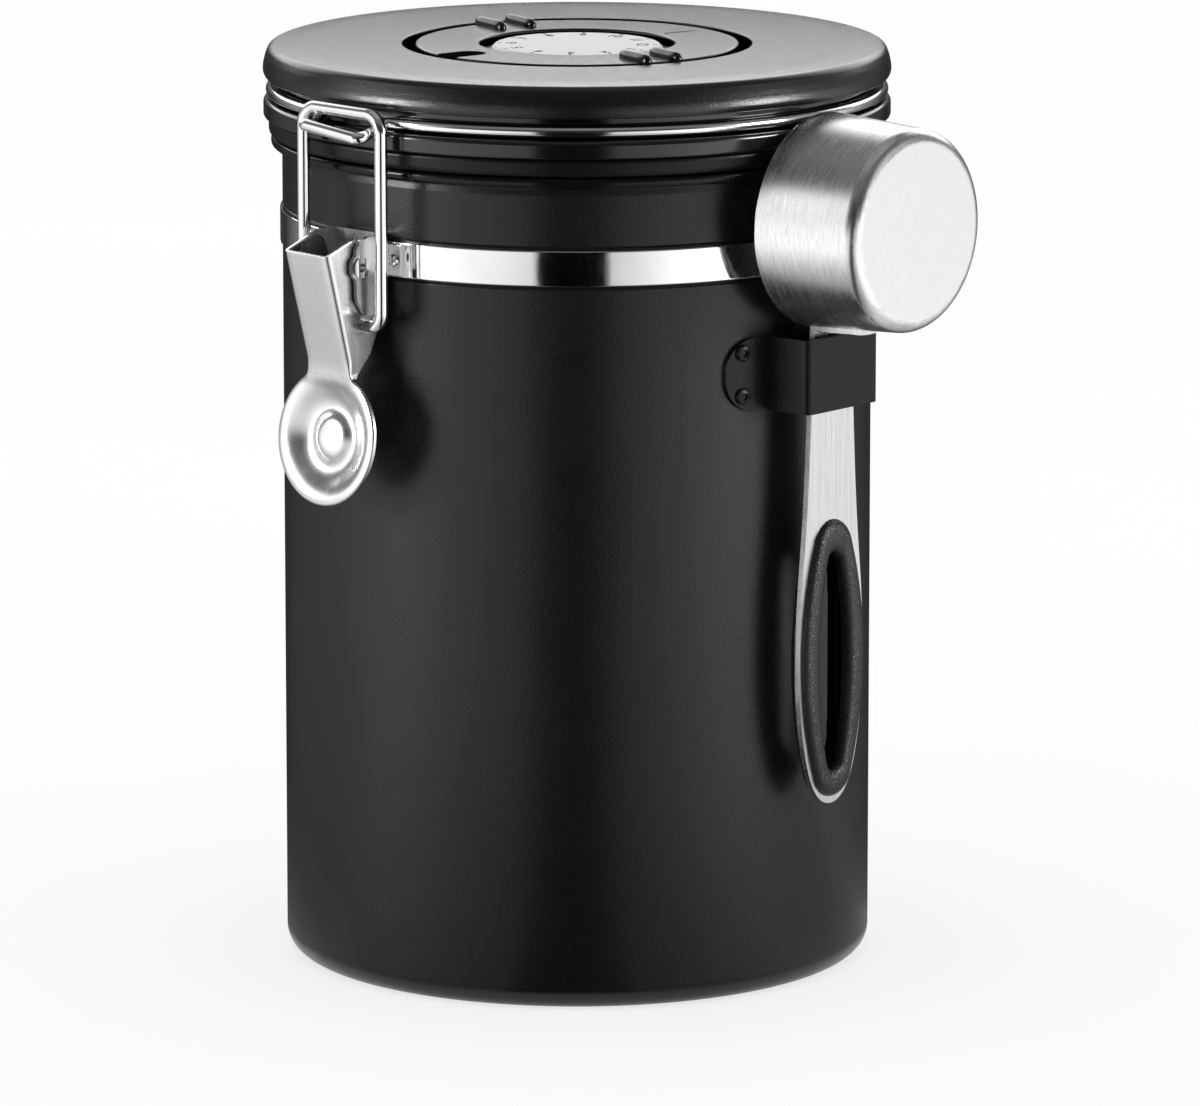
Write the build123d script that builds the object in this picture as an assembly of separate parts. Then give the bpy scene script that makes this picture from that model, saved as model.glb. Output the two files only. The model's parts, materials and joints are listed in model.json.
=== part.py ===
from build123d import *
import math
import os

# Coffee canister with a one-way valve lid, a wire bail latch and a side scoop.
# Millimetres. +Z up, origin at the middle of the base where it stands.
# Latch towards -Y, lid hinge towards +Y, scoop towards +X (turned 4 degrees).
# Latch and scoop pieces are drawn in a front frame: t to the right (+X),
# rho outwards (-Y), z up. Scoop pieces are then turned into place about Z.

# ---- driving dimensions ----
BODY_R = 59.0          # can outside
WALL = 0.6
CORNER_R = 4.5         # rounded bottom edge
GROOVE_R = 58.6        # seat of the neck band
BAND_Z0, BAND_Z1 = 144.9, 151.9
BAND_R = 59.5
RIM_Z0, RIM_Z1, RIM_R = 164.3, 166.4, 61.2
MOUTH_R = 57.6
GASKET_Z0, GASKET_Z1, GASKET_R = 166.5, 170.3, 61.65
FLANGE_Z1, FLANGE_R = 173.9, 62.7
PLUG_R, PLUG_Z0 = 56.0, 158.5
NECK_R = 59.6
COVER_Z0, COVER_R, COVER_TOP = 178.1, 62.8, 184.5
RING_R, RING_Z, RING_WIRE_R = 61.0, 175.5, 1.2      # wire ring round the lid
HINGE_Y = 66.5
WELL_R, DATE_R1, DATE_R0 = 34.9, 32.3, 19.5
WELL_Z = 180.5
DIAL_R = 16.4
LOOP_RHO, LOOP_T, LOOP_WIRE_R, LOOP_TOP = 64.8, 10.9, 1.3, 177.4
P1_RHO, P1_Z = 67.0, 147.6      # lever pivot
P2_Z = 135.6                    # loop pivot, at LOOP_RHO
PIN_R, RUN_CLEAR = 1.3, 0.05
LEVER_TOP_T, LEVER_NECK_T, LEVER_T = 6.1, 6.0, 0.8
EAR_IN, EAR_T = 6.45, 0.9
DISC_R, DISC_RHO, DISC_Z, DISC_TILT = 13.5, 69.4, 113.4, 8.0
SCOOP_AZ = 94.0                 # turn from the front frame to the scoop's place
CUP_Z, CUP_RHO0, CUP_RHO1 = 155.4, 63.7, 87.93
CUP_R0, CUP_R1, CUP_WALL = 21.16, 19.88, 0.8
HANDLE_RHO0, HANDLE_RHO1 = 65.2, 66.4
BRK_T, BRK_RHO, BRK_WALL = 10.9, 69.3, 0.9
BRK_Z0, BRK_Z1, BRK_END = 118.4, 133.1, 20.5

os.makedirs("parts", exist_ok=True)


# ---- helpers ----
def face_of(pts):
    """Face from (u, v) or (u, v, corner radius) points."""
    radii = [p[2] if len(p) > 2 else 0 for p in pts]
    if any(radii):
        return make_face(FilletPolyline(*[(p[0], p[1]) for p in pts], radius=radii, close=True))
    return make_face(Polyline(*[(p[0], p[1]) for p in pts], close=True))


def spin(pts):
    """Solid of revolution about Z from (radius, z) points."""
    return revolve(Plane.XZ * face_of(pts), Axis.Z, 360)


SIDE = Plane(origin=(0, 0, 0), x_dir=(0, -1, 0), z_dir=(-1, 0, 0))   # (rho, z)


def side_plate(pts, t0, t1):
    """(rho, z) outline between two t values."""
    f = Plane(origin=(t1, 0, 0), x_dir=(0, -1, 0), z_dir=(-1, 0, 0)) * face_of(pts)
    return extrude(f, amount=t1 - t0)


def front_plate(pts, rho0, rho1):
    """(t, z) outline between two rho values."""
    f = Plane(origin=(0, -rho0, 0), x_dir=(1, 0, 0), z_dir=(0, -1, 0)) * face_of(pts)
    return extrude(f, amount=rho1 - rho0)


def rod(p, q, r):
    """Round bar from p to q."""
    d = Vector(*q) - Vector(*p)
    return extrude(Plane(origin=p, z_dir=d) * Circle(r), amount=d.length)


def tube(p, q, r, ri):
    d = Vector(*q) - Vector(*p)
    return extrude(Plane(origin=p, z_dir=d) * (Circle(r) - Circle(ri)), amount=d.length)


def rivet(p, n, r, h, hole=0.0):
    """Domed rivet head on a surface, n outwards."""
    pl = Plane(origin=p, z_dir=n)
    prof = [(0, 0), (r, 0), (r, h * 0.35), (r * 0.8, h * 0.85), (r * 0.45, h), (0, h)]
    head = revolve(Plane.XZ * face_of(prof), Axis.Z, 360)
    if hole:
        head = head - extrude(Plane.XY.offset(h * 0.4) * Circle(hole), amount=h)
    return pl * head


def swept(path, r):
    return sweep(Plane(origin=path @ 0, z_dir=path % 0) * Circle(r), path=path)


def save(name, thing):
    solids = thing.solids()
    shape = solids[0] if len(solids) == 1 else Compound(list(solids))
    shape.label = name
    export_step(shape, f"parts/{name}.step")
    print(name, len(solids), round(sum(s.volume for s in solids), 1))


def place_scoop(x):
    return Rot(0, 0, SCOOP_AZ) * x


# ---- can body: drawn steel can with a flat base, band groove and rolled rim ----
w = WALL
can_body = spin([
    (0, 0), (38, 0, 1.0), (39.6, 1.2, 1.0), (46.4, 1.2, 1.0), (48, 0, 1.0),
    (BODY_R, 0, CORNER_R), (BODY_R, 144.2, 0.5), (GROOVE_R, 144.6, 0.3),
    (GROOVE_R, 152.2, 0.3), (BODY_R, 152.7, 0.5), (BODY_R, 162.6, 1.5), (58.75, RIM_Z0, 0.4),
    (RIM_R, RIM_Z0, 0.9), (RIM_R, RIM_Z1, 0.9), (MOUTH_R, RIM_Z1, 0.3),
    (MOUTH_R, 163.0, 1.5), (BODY_R - w, 161.8, 1.5), (BODY_R - w, 152.5, 0.5),
    (GROOVE_R - w, 152.0, 0.5), (GROOVE_R - w, 144.8, 0.5), (BODY_R - w, 144.4, 0.5),
    (BODY_R - w, 0.8, CORNER_R - w), (48.3, 0.8, 0.6), (46.8, 2.0, 0.6),
    (39.2, 2.0, 0.6), (37.7, 0.8, 0.6), (0, 0.8),
])
save("can_body", can_body)

# ---- neck band ----
neck_band = spin([
    (GROOVE_R + 0.03, BAND_Z0), (BAND_R, BAND_Z0, 0.35), (BAND_R, BAND_Z1, 0.35), (GROOVE_R + 0.03, BAND_Z1),
])
save("neck_band", neck_band)

# ---- latch bracket: channel with two ears, wings lie on the band ----
ear = [
    (59.75, 153.4, 0.8), (65.2, 153.4, 3.0), (68.0, 151.4, 1.2), (68.1, 150.0, 0.6), (69.2, 148.9, 1.4), (69.2, 146.3, 1.4),
    (68.1, 145.2, 0.6), (67.9, 141.0, 2.0), (65.6, 137.7, 1.6), (62.4, 138.0, 2.2), (59.75, 141.2, 0.8),
]
p1 = (P1_RHO, P1_Z)
ears = side_plate(ear, EAR_IN, EAR_IN + EAR_T) + side_plate(ear, -EAR_IN - EAR_T, -EAR_IN)
web = front_plate([(-EAR_IN - EAR_T, 141.2, 1), (EAR_IN + EAR_T, 141.2, 1), (EAR_IN + EAR_T, 153.4, 1), (-EAR_IN - EAR_T, 153.4, 1)], 59.75, 60.55)
wing = spin([(BAND_R + 0.03, 145.2), (60.35, 145.2, 0.3), (60.35, 151.6, 0.3), (BAND_R + 0.03, 151.6)])
wing = wing & (Pos(0, -60, 148.4) * Box(21.2, 12, 8))
wing = wing - front_plate([(-7, 140), (7, 140), (7, 156), (-7, 156)], 50, 70)
latch_bracket = ears + web + wing
latch_bracket = latch_bracket - rod((-9, -P1_RHO, P1_Z), (9, -P1_RHO, P1_Z), PIN_R)
save("latch_bracket", latch_bracket)

rv = []
for s in (-1, 1):
    a = math.asin(9.1 / 60.35) * s
    n = (math.sin(a), -math.cos(a), 0)
    rv.append(rivet((60.36 * n[0], 60.36 * n[1], 148.4), n, 1.25, 0.75))
save("latch_bracket_rivets", Compound(rv))

# hollow rivet that the lever turns on
pe = EAR_IN + EAR_T + 0.03
latch_pivot_pin = (
    tube((-pe - 0.5, -P1_RHO, P1_Z), (pe + 0.5, -P1_RHO, P1_Z), PIN_R - 0.005, 0.9)
    + tube((pe, -P1_RHO, P1_Z), (pe + 0.5, -P1_RHO, P1_Z), 2.0, 0.9)
    + tube((-pe - 0.5, -P1_RHO, P1_Z), (-pe, -P1_RHO, P1_Z), 2.0, 0.9)
)
save("latch_pivot_pin", latch_pivot_pin)

# ---- latch lever: tapered channel, neck and dished thumb disc ----
outer = side_plate([
    (75.0, 150.3, 0.5), (66.9, 153.3, 1.6), (64.6, 151.6, 2.0), (61.5, 141.5, 3.0), (61.1, 134.6, 2.4),
    (63.0, 130.0, 2.4), (67.2, 125.4, 0.6), (68.5, 125.4, 0.3),
], -7, 7)
hw = [(-LEVER_NECK_T, 125.0), (LEVER_NECK_T, 125.0), (LEVER_TOP_T, 141.0), (LEVER_TOP_T, 156.0), (-LEVER_TOP_T, 156.0), (-LEVER_TOP_T, 141.0)]
outer = outer & front_plate(hw, 55, 80)
cav = side_plate([(74.15, 150.3), (74.15, 158.0), (55.0, 158.0), (55.0, 127.4), (67.95, 127.4)], -7, 7)
tw = LEVER_T
cav = cav & front_plate([(-LEVER_NECK_T + tw, 125.0), (LEVER_NECK_T - tw, 125.0), (LEVER_TOP_T - tw, 141.0), (LEVER_TOP_T - tw, 160.0), (-LEVER_TOP_T + tw, 160.0), (-LEVER_TOP_T + tw, 141.0)], 50, 80)
channel = outer - cav
channel = channel - rod((-9, -P1_RHO, P1_Z), (9, -P1_RHO, P1_Z), PIN_R + RUN_CLEAR)
channel = channel - rod((-9, -LOOP_RHO, P2_Z), (9, -LOOP_RHO, P2_Z), LOOP_WIRE_R + RUN_CLEAR)
dish = revolve(Plane.XZ * face_of([
    (0, -0.7), (3.4, -0.7, 1.0), (4.9, -2.0, 0.9), (6.3, -2.0, 1.2), (8.8, 0.0, 1.6), (12.2, 0.5, 1.5), (DISC_R, 0.35, 0.35),
    (DISC_R, -0.45, 0.35), (12.2, -0.35, 1.2), (9.2, -0.9, 1.4), (6.9, -2.9, 1.2), (4.3, -2.9, 0.9), (2.8, -1.6, 0.9), (0, -1.6),
]), Axis.Z, 360)
dn = (0, -math.cos(math.radians(DISC_TILT)), math.sin(math.radians(DISC_TILT)))
dish = Plane(origin=(0, -DISC_RHO, DISC_Z), x_dir=(1, 0, 0), z_dir=dn) * dish
neck = side_plate([(68.75, 127.6), (67.75, 127.6), (66.9, 125.3), (67.0, 124.6), (67.75, 124.6), (68.2, 126.0)], -LEVER_NECK_T, LEVER_NECK_T)
latch_lever = channel + neck + dish
save("latch_lever", latch_lever)

# ---- tension loop: bent wire, its ends turn in the lever ----
loop_plane = Plane(origin=(0, -LOOP_RHO, 0), x_dir=(1, 0, 0), z_dir=(0, -1, 0))
lp = loop_plane * FilletPolyline(
    (4.9, P2_Z), (LOOP_T, P2_Z), (LOOP_T, LOOP_TOP), (-LOOP_T, LOOP_TOP), (-LOOP_T, P2_Z), (-4.9, P2_Z),
    radius=[3.2, 3.6, 3.6, 3.2],
)
tension_loop = swept(lp, LOOP_WIRE_R)
save("tension_loop", tension_loop)

# ---- hinge plate: on the band behind, rolled round the wire ring's hinge segment ----
hp = Plane(origin=(-7.0, 0, 0), x_dir=(0, 1, 0), z_dir=(1, 0, 0))
strip = make_face(Polyline(
    (59.6, 143.6), (60.5, 143.6), (60.5, 157.4), (65.9, 163.2), (65.9, 172.6), (HINGE_Y - 1.0, 173.4), (HINGE_Y, 173.3), (HINGE_Y, 174.3),
    (HINGE_Y - 1.6, 174.6), (65.0, 172.9), (65.0, 163.6), (59.6, 157.8), close=True))
strip = extrude(hp * strip, amount=14.0)
knuckle = tube((-7.0, HINGE_Y, RING_Z), (7.0, HINGE_Y, RING_Z), 2.2, RING_WIRE_R + RUN_CLEAR)
foot = spin([(BAND_R + 0.03, 144.0), (60.5, 144.0, 0.3), (60.5, 152.8, 0.3), (BAND_R + 0.03, 152.8)])
foot = foot & (Pos(0, 60, 148.4) * Box(26, 12, 12))
hinge_plate = strip - spin([(0, 140), (BAND_R + 0.03, 140), (BAND_R + 0.03, 160), (0, 160)])
hinge_plate = hinge_plate - rod((-8, HINGE_Y, RING_Z), (8, HINGE_Y, RING_Z), RING_WIRE_R + RUN_CLEAR)
hinge_plate = hinge_plate + knuckle + foot
save("hinge_plate", hinge_plate)

rv = []
for s in (-1, 1):
    a = math.asin(9.8 / 60.5) * s
    n = (math.sin(a), math.cos(a), 0)
    rv.append(rivet((60.51 * n[0], 60.51 * n[1], 148.4), n, 1.6, 0.8))
save("hinge_plate_rivets", Compound(rv))

# ---- scoop bracket: strap loop riveted to the can ----
loop_box = front_plate([(-BRK_T, BRK_Z0), (BRK_T, BRK_Z0), (BRK_T, BRK_Z1), (-BRK_T, BRK_Z1)], 54, BRK_RHO)
loop_box = fillet(loop_box.edges().filter_by(Axis.Z).group_by(Axis.Y)[0], 1.6)
inner = front_plate([(-BRK_T + BRK_WALL, BRK_Z0 - 1), (BRK_T - BRK_WALL, BRK_Z0 - 1), (BRK_T - BRK_WALL, BRK_Z1 + 1), (-BRK_T + BRK_WALL, BRK_Z1 + 1)], 40, BRK_RHO - BRK_WALL)
inner = fillet(inner.edges().filter_by(Axis.Z).group_by(Axis.Y)[0], 0.7)
fl = spin([(BODY_R + 0.03, BRK_Z0), (BODY_R + 0.95, BRK_Z0), (BODY_R + 0.95, BRK_Z1), (BODY_R + 0.03, BRK_Z1)])
fl = fl & front_plate([(-BRK_END, BRK_Z0, 6.6), (BRK_END, BRK_Z0, 6.6), (BRK_END, BRK_Z1, 6.6), (-BRK_END, BRK_Z1, 6.6)], 30, 75)
core = spin([(0, 100), (BODY_R + 0.03, 100), (BODY_R + 0.03, 150), (0, 150)])
scoop_bracket = (loop_box + fl) - inner - core
save("scoop_bracket", place_scoop(scoop_bracket))

rv = []
for s in (-1, 1):
    for z in (BRK_Z1 - 2.8, BRK_Z0 + 3.3):
        a = math.asin(16.9 / (BODY_R + 0.95)) * s
        n = (math.sin(a), -math.cos(a), 0)
        rr = BODY_R + 0.96
        rv.append(place_scoop(rivet((rr * n[0], rr * n[1], z), n, 1.7, 0.7, 0.75)))
save("scoop_bracket_rivets", Compound(rv))

# ---- lid base: glossy flange, neck for the wire ring, hollow plug with the valve seat hole ----
lid_base = spin([
    (9.1, PLUG_Z0, 0.3), (PLUG_R, PLUG_Z0, 1.2), (PLUG_R, GASKET_Z1), (FLANGE_R, GASKET_Z1, 0.5), (FLANGE_R, FLANGE_Z1, 1.0),
    (NECK_R, FLANGE_Z1, 0.3), (NECK_R, 181.6), (57.8, 181.6), (57.8, 173.0, 0.8), (54.2, 173.0, 0.8), (54.2, 160.4, 1.0), (9.1, 160.4, 0.3),
])
save("lid_base", lid_base)

lid_gasket = spin([
    (PLUG_R + 0.03, GASKET_Z0), (59.4, GASKET_Z0), (GASKET_R, GASKET_Z0, 1.3), (GASKET_R, GASKET_Z1 - 0.02, 1.0), (PLUG_R + 0.03, GASKET_Z1 - 0.02),
])
save("lid_gasket", lid_gasket)

# ---- lid cover: matte cap with the well of the date ring ----
lid_cover = spin([
    (4.05, WELL_Z), (WELL_R, WELL_Z), (WELL_R, COVER_TOP, 0.35), (56.0, COVER_TOP, 20), (COVER_R, COVER_TOP - 0.25, 2.3),
    (COVER_R, COVER_Z0, 2.2), (60.4, COVER_Z0), (60.4, 181.65, 0.8), (36.4, 181.65, 0.3), (36.4, 179.0, 0.3), (4.05, 179.0),
])
save("lid_cover", lid_cover)

# disc with the day numbers, under the date ring
day_disc = spin([(20.5, WELL_Z + 0.02), (34.7, WELL_Z + 0.02), (34.7, WELL_Z + 0.32), (20.5, WELL_Z + 0.32)])
save("day_disc", day_disc)

# ---- date ring with its window and engraved line ----
DR0 = WELL_Z + 0.45
date_ring = spin([
    (17.6, DR0), (DATE_R1, DR0), (DATE_R1, COVER_TOP, 0.4), (DATE_R0, COVER_TOP, 0.4), (DATE_R0, DR0 + 0.7), (17.6, DR0 + 0.7),
])
win = Rot(0, 0, 261.9) * (Pos(31.6, 0, 183) * Box(10.0, 6.4, 8) + Pos(26.6, 0, 179) * extrude(Circle(3.2), amount=8))
date_ring = date_ring - win
date_ring = date_ring - Rot(0, 0, 79.6) * (Pos(25.0, 0, COVER_TOP) * Box(7.6, 0.7, 0.6))
save("date_ring", date_ring)

# raised finger ribs, two pairs
GR_L, GR_W, GR_H, GR_R, GR_S = 10.8, 2.2, 1.7, 28.1, 3.5
ribs = []
for ang in (-14.0, 166.0):
    for s in (-1, 1):
        b = Pos(GR_R, s * GR_S, COVER_TOP + 0.02 + GR_H / 2) * Box(GR_L, GR_W, GR_H)
        b = fillet(b.edges().filter_by(Axis.Z), 0.85)
        b = fillet(b.faces().sort_by(Axis.Z)[-1].edges(), 0.45)
        ribs.append(Rot(0, 0, ang) * b)
save("ring_grips", Compound(ribs))

# ---- month dial: plate on a hub that holds the date ring down ----
dial_hub = spin([
    (0, 176.6), (3.6, 176.6, 0.3), (3.95, 177.0), (3.95, 177.7), (3.2, 177.7), (3.2, 178.6), (3.95, 178.6), (3.95, WELL_Z + 0.1),
    (16.6, WELL_Z + 0.1), (16.6, DR0 + 0.9), (19.2, DR0 + 0.9), (19.2, 182.8, 0.3), (0, 182.8),
])
save("dial_hub", dial_hub)
month_dial = spin([(0, 182.83), (17.1, 182.83), (17.1, 183.5, 0.1), (DIAL_R, 184.15, 0.3), (0, 184.15)])
save("month_dial", month_dial)
dial_clip = spin([(3.25, 177.75), (6.4, 177.75, 0.2), (6.4, 178.55, 0.2), (3.25, 178.55)])
dial_clip = dial_clip - Pos(5.0, 0, 178) * Box(10, 2.2, 3)
save("dial_clip", dial_clip)

# ---- valve: seat with holes, silicone flap on top, filter and grille below ----
valve_seat = spin([
    (0, 159.2), (9.05, 159.2), (9.05, 160.45), (11.2, 160.45), (11.2, 161.5, 0.3), (9.6, 161.5, 0.3), (9.6, 160.7), (0, 160.7),
])
for k in range(6):
    a = math.radians(60 * k)
    valve_seat = valve_seat - Pos(4.6 * math.cos(a), 4.6 * math.sin(a), 158) * extrude(Circle(1.0), amount=5)
valve_seat = valve_seat - Pos(0, 0, 158) * extrude(Circle(1.3), amount=5)
save("valve_seat", valve_seat)
valve_flap = spin([
    (0, 158.98), (0.95, 158.98), (1.2, 159.1), (1.2, 160.82), (7.6, 160.78), (7.7, 161.1, 0.1), (2.2, 161.9, 0.6), (0, 162.1),
])
save("valve_flap", valve_flap)
valve_filter = spin([(0, 157.0), (8.3, 157.0), (8.3, 157.6), (0, 157.6)])
save("valve_filter", valve_filter)
valve_cap = spin([
    (0, 155.8), (9.6, 155.8, 0.8), (11.6, 157.0, 0.4), (11.6, 158.45), (10.4, 158.45), (8.45, 158.45), (8.45, 156.95), (0, 156.95),
])
for k in range(-2, 3):
    half = math.sqrt(7.0 ** 2 - (2.9 * k) ** 2)
    valve_cap = valve_cap - Pos(0, 2.9 * k, 156) * Box(2 * half, 1.3, 4)
save("valve_cap", valve_cap)

# ---- wire ring: circle round the lid, hook in front, hinge segment behind ----
ang = math.asin(13.4 / RING_R)
ax, ay = 13.4, -RING_R * math.cos(ang)
tx, ty = -math.cos(ang), -math.sin(ang)
bx, by = ax + 5.0 * tx, ay + 5.0 * ty
hook = FilletPolyline(
    (ax, ay, RING_Z), (bx, by, RING_Z), (7.7, -65.4, 173.6), (7.9, -68.0, 172.9),
    (-7.9, -68.0, 174.35), (-7.7, -65.4, 173.75), (-bx, by, RING_Z), (-ax, ay, RING_Z),
    radius=[1.5, 1.2, 1.25, 1.25, 1.2, 1.5],
)
ang2 = math.asin(16.0 / RING_R)
cx, cy = 16.0, RING_R * math.cos(ang2)
ux, uy = -math.cos(ang2), math.sin(ang2)
dx, dy = cx + 5.6 * ux, cy + 5.6 * uy
back = FilletPolyline(
    (-cx, cy, RING_Z), (-dx, dy, RING_Z), (-9.8, HINGE_Y, RING_Z), (9.8, HINGE_Y, RING_Z), (dx, dy, RING_Z), (cx, cy, RING_Z),
    radius=[1.4, 1.6, 1.6, 1.4],
)
left = ThreePointArc((-ax, ay, RING_Z), (-RING_R, 0, RING_Z), (-cx, cy, RING_Z))
right = ThreePointArc((cx, cy, RING_Z), (RING_R, 0, RING_Z), (ax, ay, RING_Z))
section = Circle(RING_WIRE_R)
hook_bar = sweep(Plane(origin=(ax, ay, RING_Z), z_dir=(tx, ty, 0)) * section, path=hook)
back_bar = sweep(Plane(origin=(-cx, cy, RING_Z), z_dir=back % 0) * section, path=back)
left_bar = sweep(Plane(origin=(-ax, ay, RING_Z), z_dir=left % 0) * section, path=left)
right_bar = sweep(Plane(origin=(cx, cy, RING_Z), z_dir=right % 0) * section, path=right)
lid_ring_wire = hook_bar + left_bar + back_bar + right_bar
save("lid_ring_wire", lid_ring_wire)

# ---- scoop ----
CUP_PLANE = Plane(origin=(0, 0, CUP_Z), x_dir=(1, 0, 0), z_dir=(0, -1, 0))   # local z = rho


def cup_spin(pts):
    return CUP_PLANE * revolve(Plane.XZ * face_of(pts), Axis.Z, 360)


cw = CUP_WALL
scoop_cup = cup_spin([
    (CUP_R0 - cw, CUP_RHO0, 0.3), (CUP_R0, CUP_RHO0, 0.3), (CUP_R1, CUP_RHO1, 2.8), (0, CUP_RHO1), (0, CUP_RHO1 - cw), (CUP_R1 - cw, CUP_RHO1 - cw, 2.1),
])
save("scoop_cup", place_scoop(scoop_cup))

HALF = [(6.0, 131.0), (6.2, 124.0), (6.5, 117.0), (7.1, 105.0), (8.1, 92.0), (9.2, 81.0), (9.7, 71.0), (9.45, 59.0), (7.7, 48.5), (4.6, 41.2), (0, 38.7)]
right_s = Spline(*HALF, tangents=[(0, -1), (-1, 0)])
left_s = Spline(*[(-a, b) for a, b in HALF], tangents=[(0, -1), (1, 0)])
top_l = Line((6.0, 131.0), (-6.0, 131.0))
outline = make_face([right_s, left_s, top_l])


def oval(half, z0, z1, end_r):
    """Long oval in (t, z) from four tangent arcs."""
    zc, h = (z0 + z1) / 2, (z1 - z0) / 2
    big = (half ** 2 + (h - end_r) ** 2 - end_r ** 2) / (2 * (half - end_r))
    ux, uz = (big - half) / (big - end_r), (h - end_r) / (big - end_r)
    tx_, tz_ = end_r * ux, h - end_r + end_r * uz
    return make_face([
        ThreePointArc((tx_, zc + tz_), (half, zc), (tx_, zc - tz_)),
        ThreePointArc((tx_, zc - tz_), (0, z0), (-tx_, zc - tz_)),
        ThreePointArc((-tx_, zc - tz_), (-half, zc), (-tx_, zc + tz_)),
        ThreePointArc((-tx_, zc + tz_), (0, z1), (tx_, zc + tz_)),
    ])


def at_rho(rho):
    return Plane(origin=(0, -rho, 0), x_dir=(1, 0, 0), z_dir=(0, -1, 0))


plate = extrude(at_rho(HANDLE_RHO0) * outline, amount=HANDLE_RHO1 - HANDLE_RHO0)
plate = plate - extrude(at_rho(HANDLE_RHO0 - 1) * oval(5.7, 43.1, 91.9, 3.2), amount=5)
# bend and saddle that is welded under the cup
cone_in = cup_spin([(0, 60.0), (CUP_R0 + 0.2, 60.0), (CUP_R0 + 0.01, CUP_RHO0), (CUP_R1 + 0.03, CUP_RHO1), (0, CUP_RHO1)])
cone_out = cup_spin([(0, 60.0), (CUP_R0 + 1.2, 60.0), (CUP_R0 + 1.0, CUP_RHO0), (CUP_R1 + 1.0, CUP_RHO1), (0, CUP_RHO1)])
saddle = cone_out & front_plate([(-5.6, 120), (5.6, 120), (5.6, 140), (-5.6, 140)], HANDLE_RHO0, 75.8)
riser = front_plate([(-6.0, 131.0), (6.0, 131.0), (5.6, 134.4), (-5.6, 134.4)], HANDLE_RHO0, HANDLE_RHO1)
scoop_handle = (plate + riser + saddle) - cone_in
save("scoop_handle", place_scoop(scoop_handle))

grip = extrude(at_rho(62.9) * oval(9.35, 40.0, 96.0, 5.4), amount=5.0)
grip = grip - extrude(at_rho(61.0) * oval(4.4, 45.9, 89.2, 2.1), amount=9)
try:
    grip = fillet(grip.edges().filter_by(lambda e: abs(e.center().Y + 62.9) < 0.01 or abs(e.center().Y + 67.9) < 0.01), 1.15)
except Exception as e:
    print("grip edges left sharp", e)
scoop_grip = grip - plate
save("scoop_grip", place_scoop(scoop_grip))
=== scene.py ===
import bpy
import bmesh
import json
import math
from mathutils import Matrix, Vector

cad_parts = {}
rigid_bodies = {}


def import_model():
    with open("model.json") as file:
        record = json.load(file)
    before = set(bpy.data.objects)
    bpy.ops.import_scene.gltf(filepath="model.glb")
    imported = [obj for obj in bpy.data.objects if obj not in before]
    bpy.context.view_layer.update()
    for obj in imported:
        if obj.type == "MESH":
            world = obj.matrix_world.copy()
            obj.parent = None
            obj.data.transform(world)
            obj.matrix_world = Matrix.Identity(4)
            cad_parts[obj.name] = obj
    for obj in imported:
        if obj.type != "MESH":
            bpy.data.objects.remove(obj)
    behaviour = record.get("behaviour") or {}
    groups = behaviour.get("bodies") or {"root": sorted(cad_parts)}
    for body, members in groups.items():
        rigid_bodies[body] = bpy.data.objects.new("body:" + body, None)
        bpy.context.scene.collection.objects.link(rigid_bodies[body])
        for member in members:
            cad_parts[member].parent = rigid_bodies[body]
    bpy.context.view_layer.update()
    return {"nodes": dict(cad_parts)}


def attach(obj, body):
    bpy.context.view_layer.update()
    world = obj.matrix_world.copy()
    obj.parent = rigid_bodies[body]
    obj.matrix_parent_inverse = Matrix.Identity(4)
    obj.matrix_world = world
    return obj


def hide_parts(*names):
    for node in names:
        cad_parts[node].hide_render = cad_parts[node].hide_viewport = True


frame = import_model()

NODES = frame["nodes"]
MM = 0.001

# ------------------------------------------------------------------ camera
AZ = math.radians(45.0)
RIGHT = Vector((math.cos(AZ), math.sin(AZ), 0))
AWAY = Vector((-math.sin(AZ), math.cos(AZ), 0))


def cam_place(x, y, z):
    """x to the camera's right, y away from it, z up, in metres about the canister's axis."""
    return RIGHT * x + AWAY * y + Vector((0, 0, z))


cam_data = bpy.data.cameras.new("camera")
cam_data.sensor_width = 36.0
cam_data.sensor_fit = "HORIZONTAL"
cam_data.lens = 266.76
cam_data.clip_start = 0.05
cam_data.clip_end = 60.0
cam = bpy.data.objects.new("camera", cam_data)
bpy.context.scene.collection.objects.link(cam)
cam.location = cam_place(0, -1.761, 0.432)
yaw, pitch = 0.0026, math.radians(11.29)
fwd = (AWAY * math.cos(yaw) + RIGHT * math.sin(yaw)) * math.cos(pitch) - Vector((0, 0, 1)) * math.sin(pitch)
cam.rotation_mode = "QUATERNION"
cam.rotation_quaternion = fwd.to_track_quat("-Z", "Y")
bpy.context.scene.camera = cam


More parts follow.
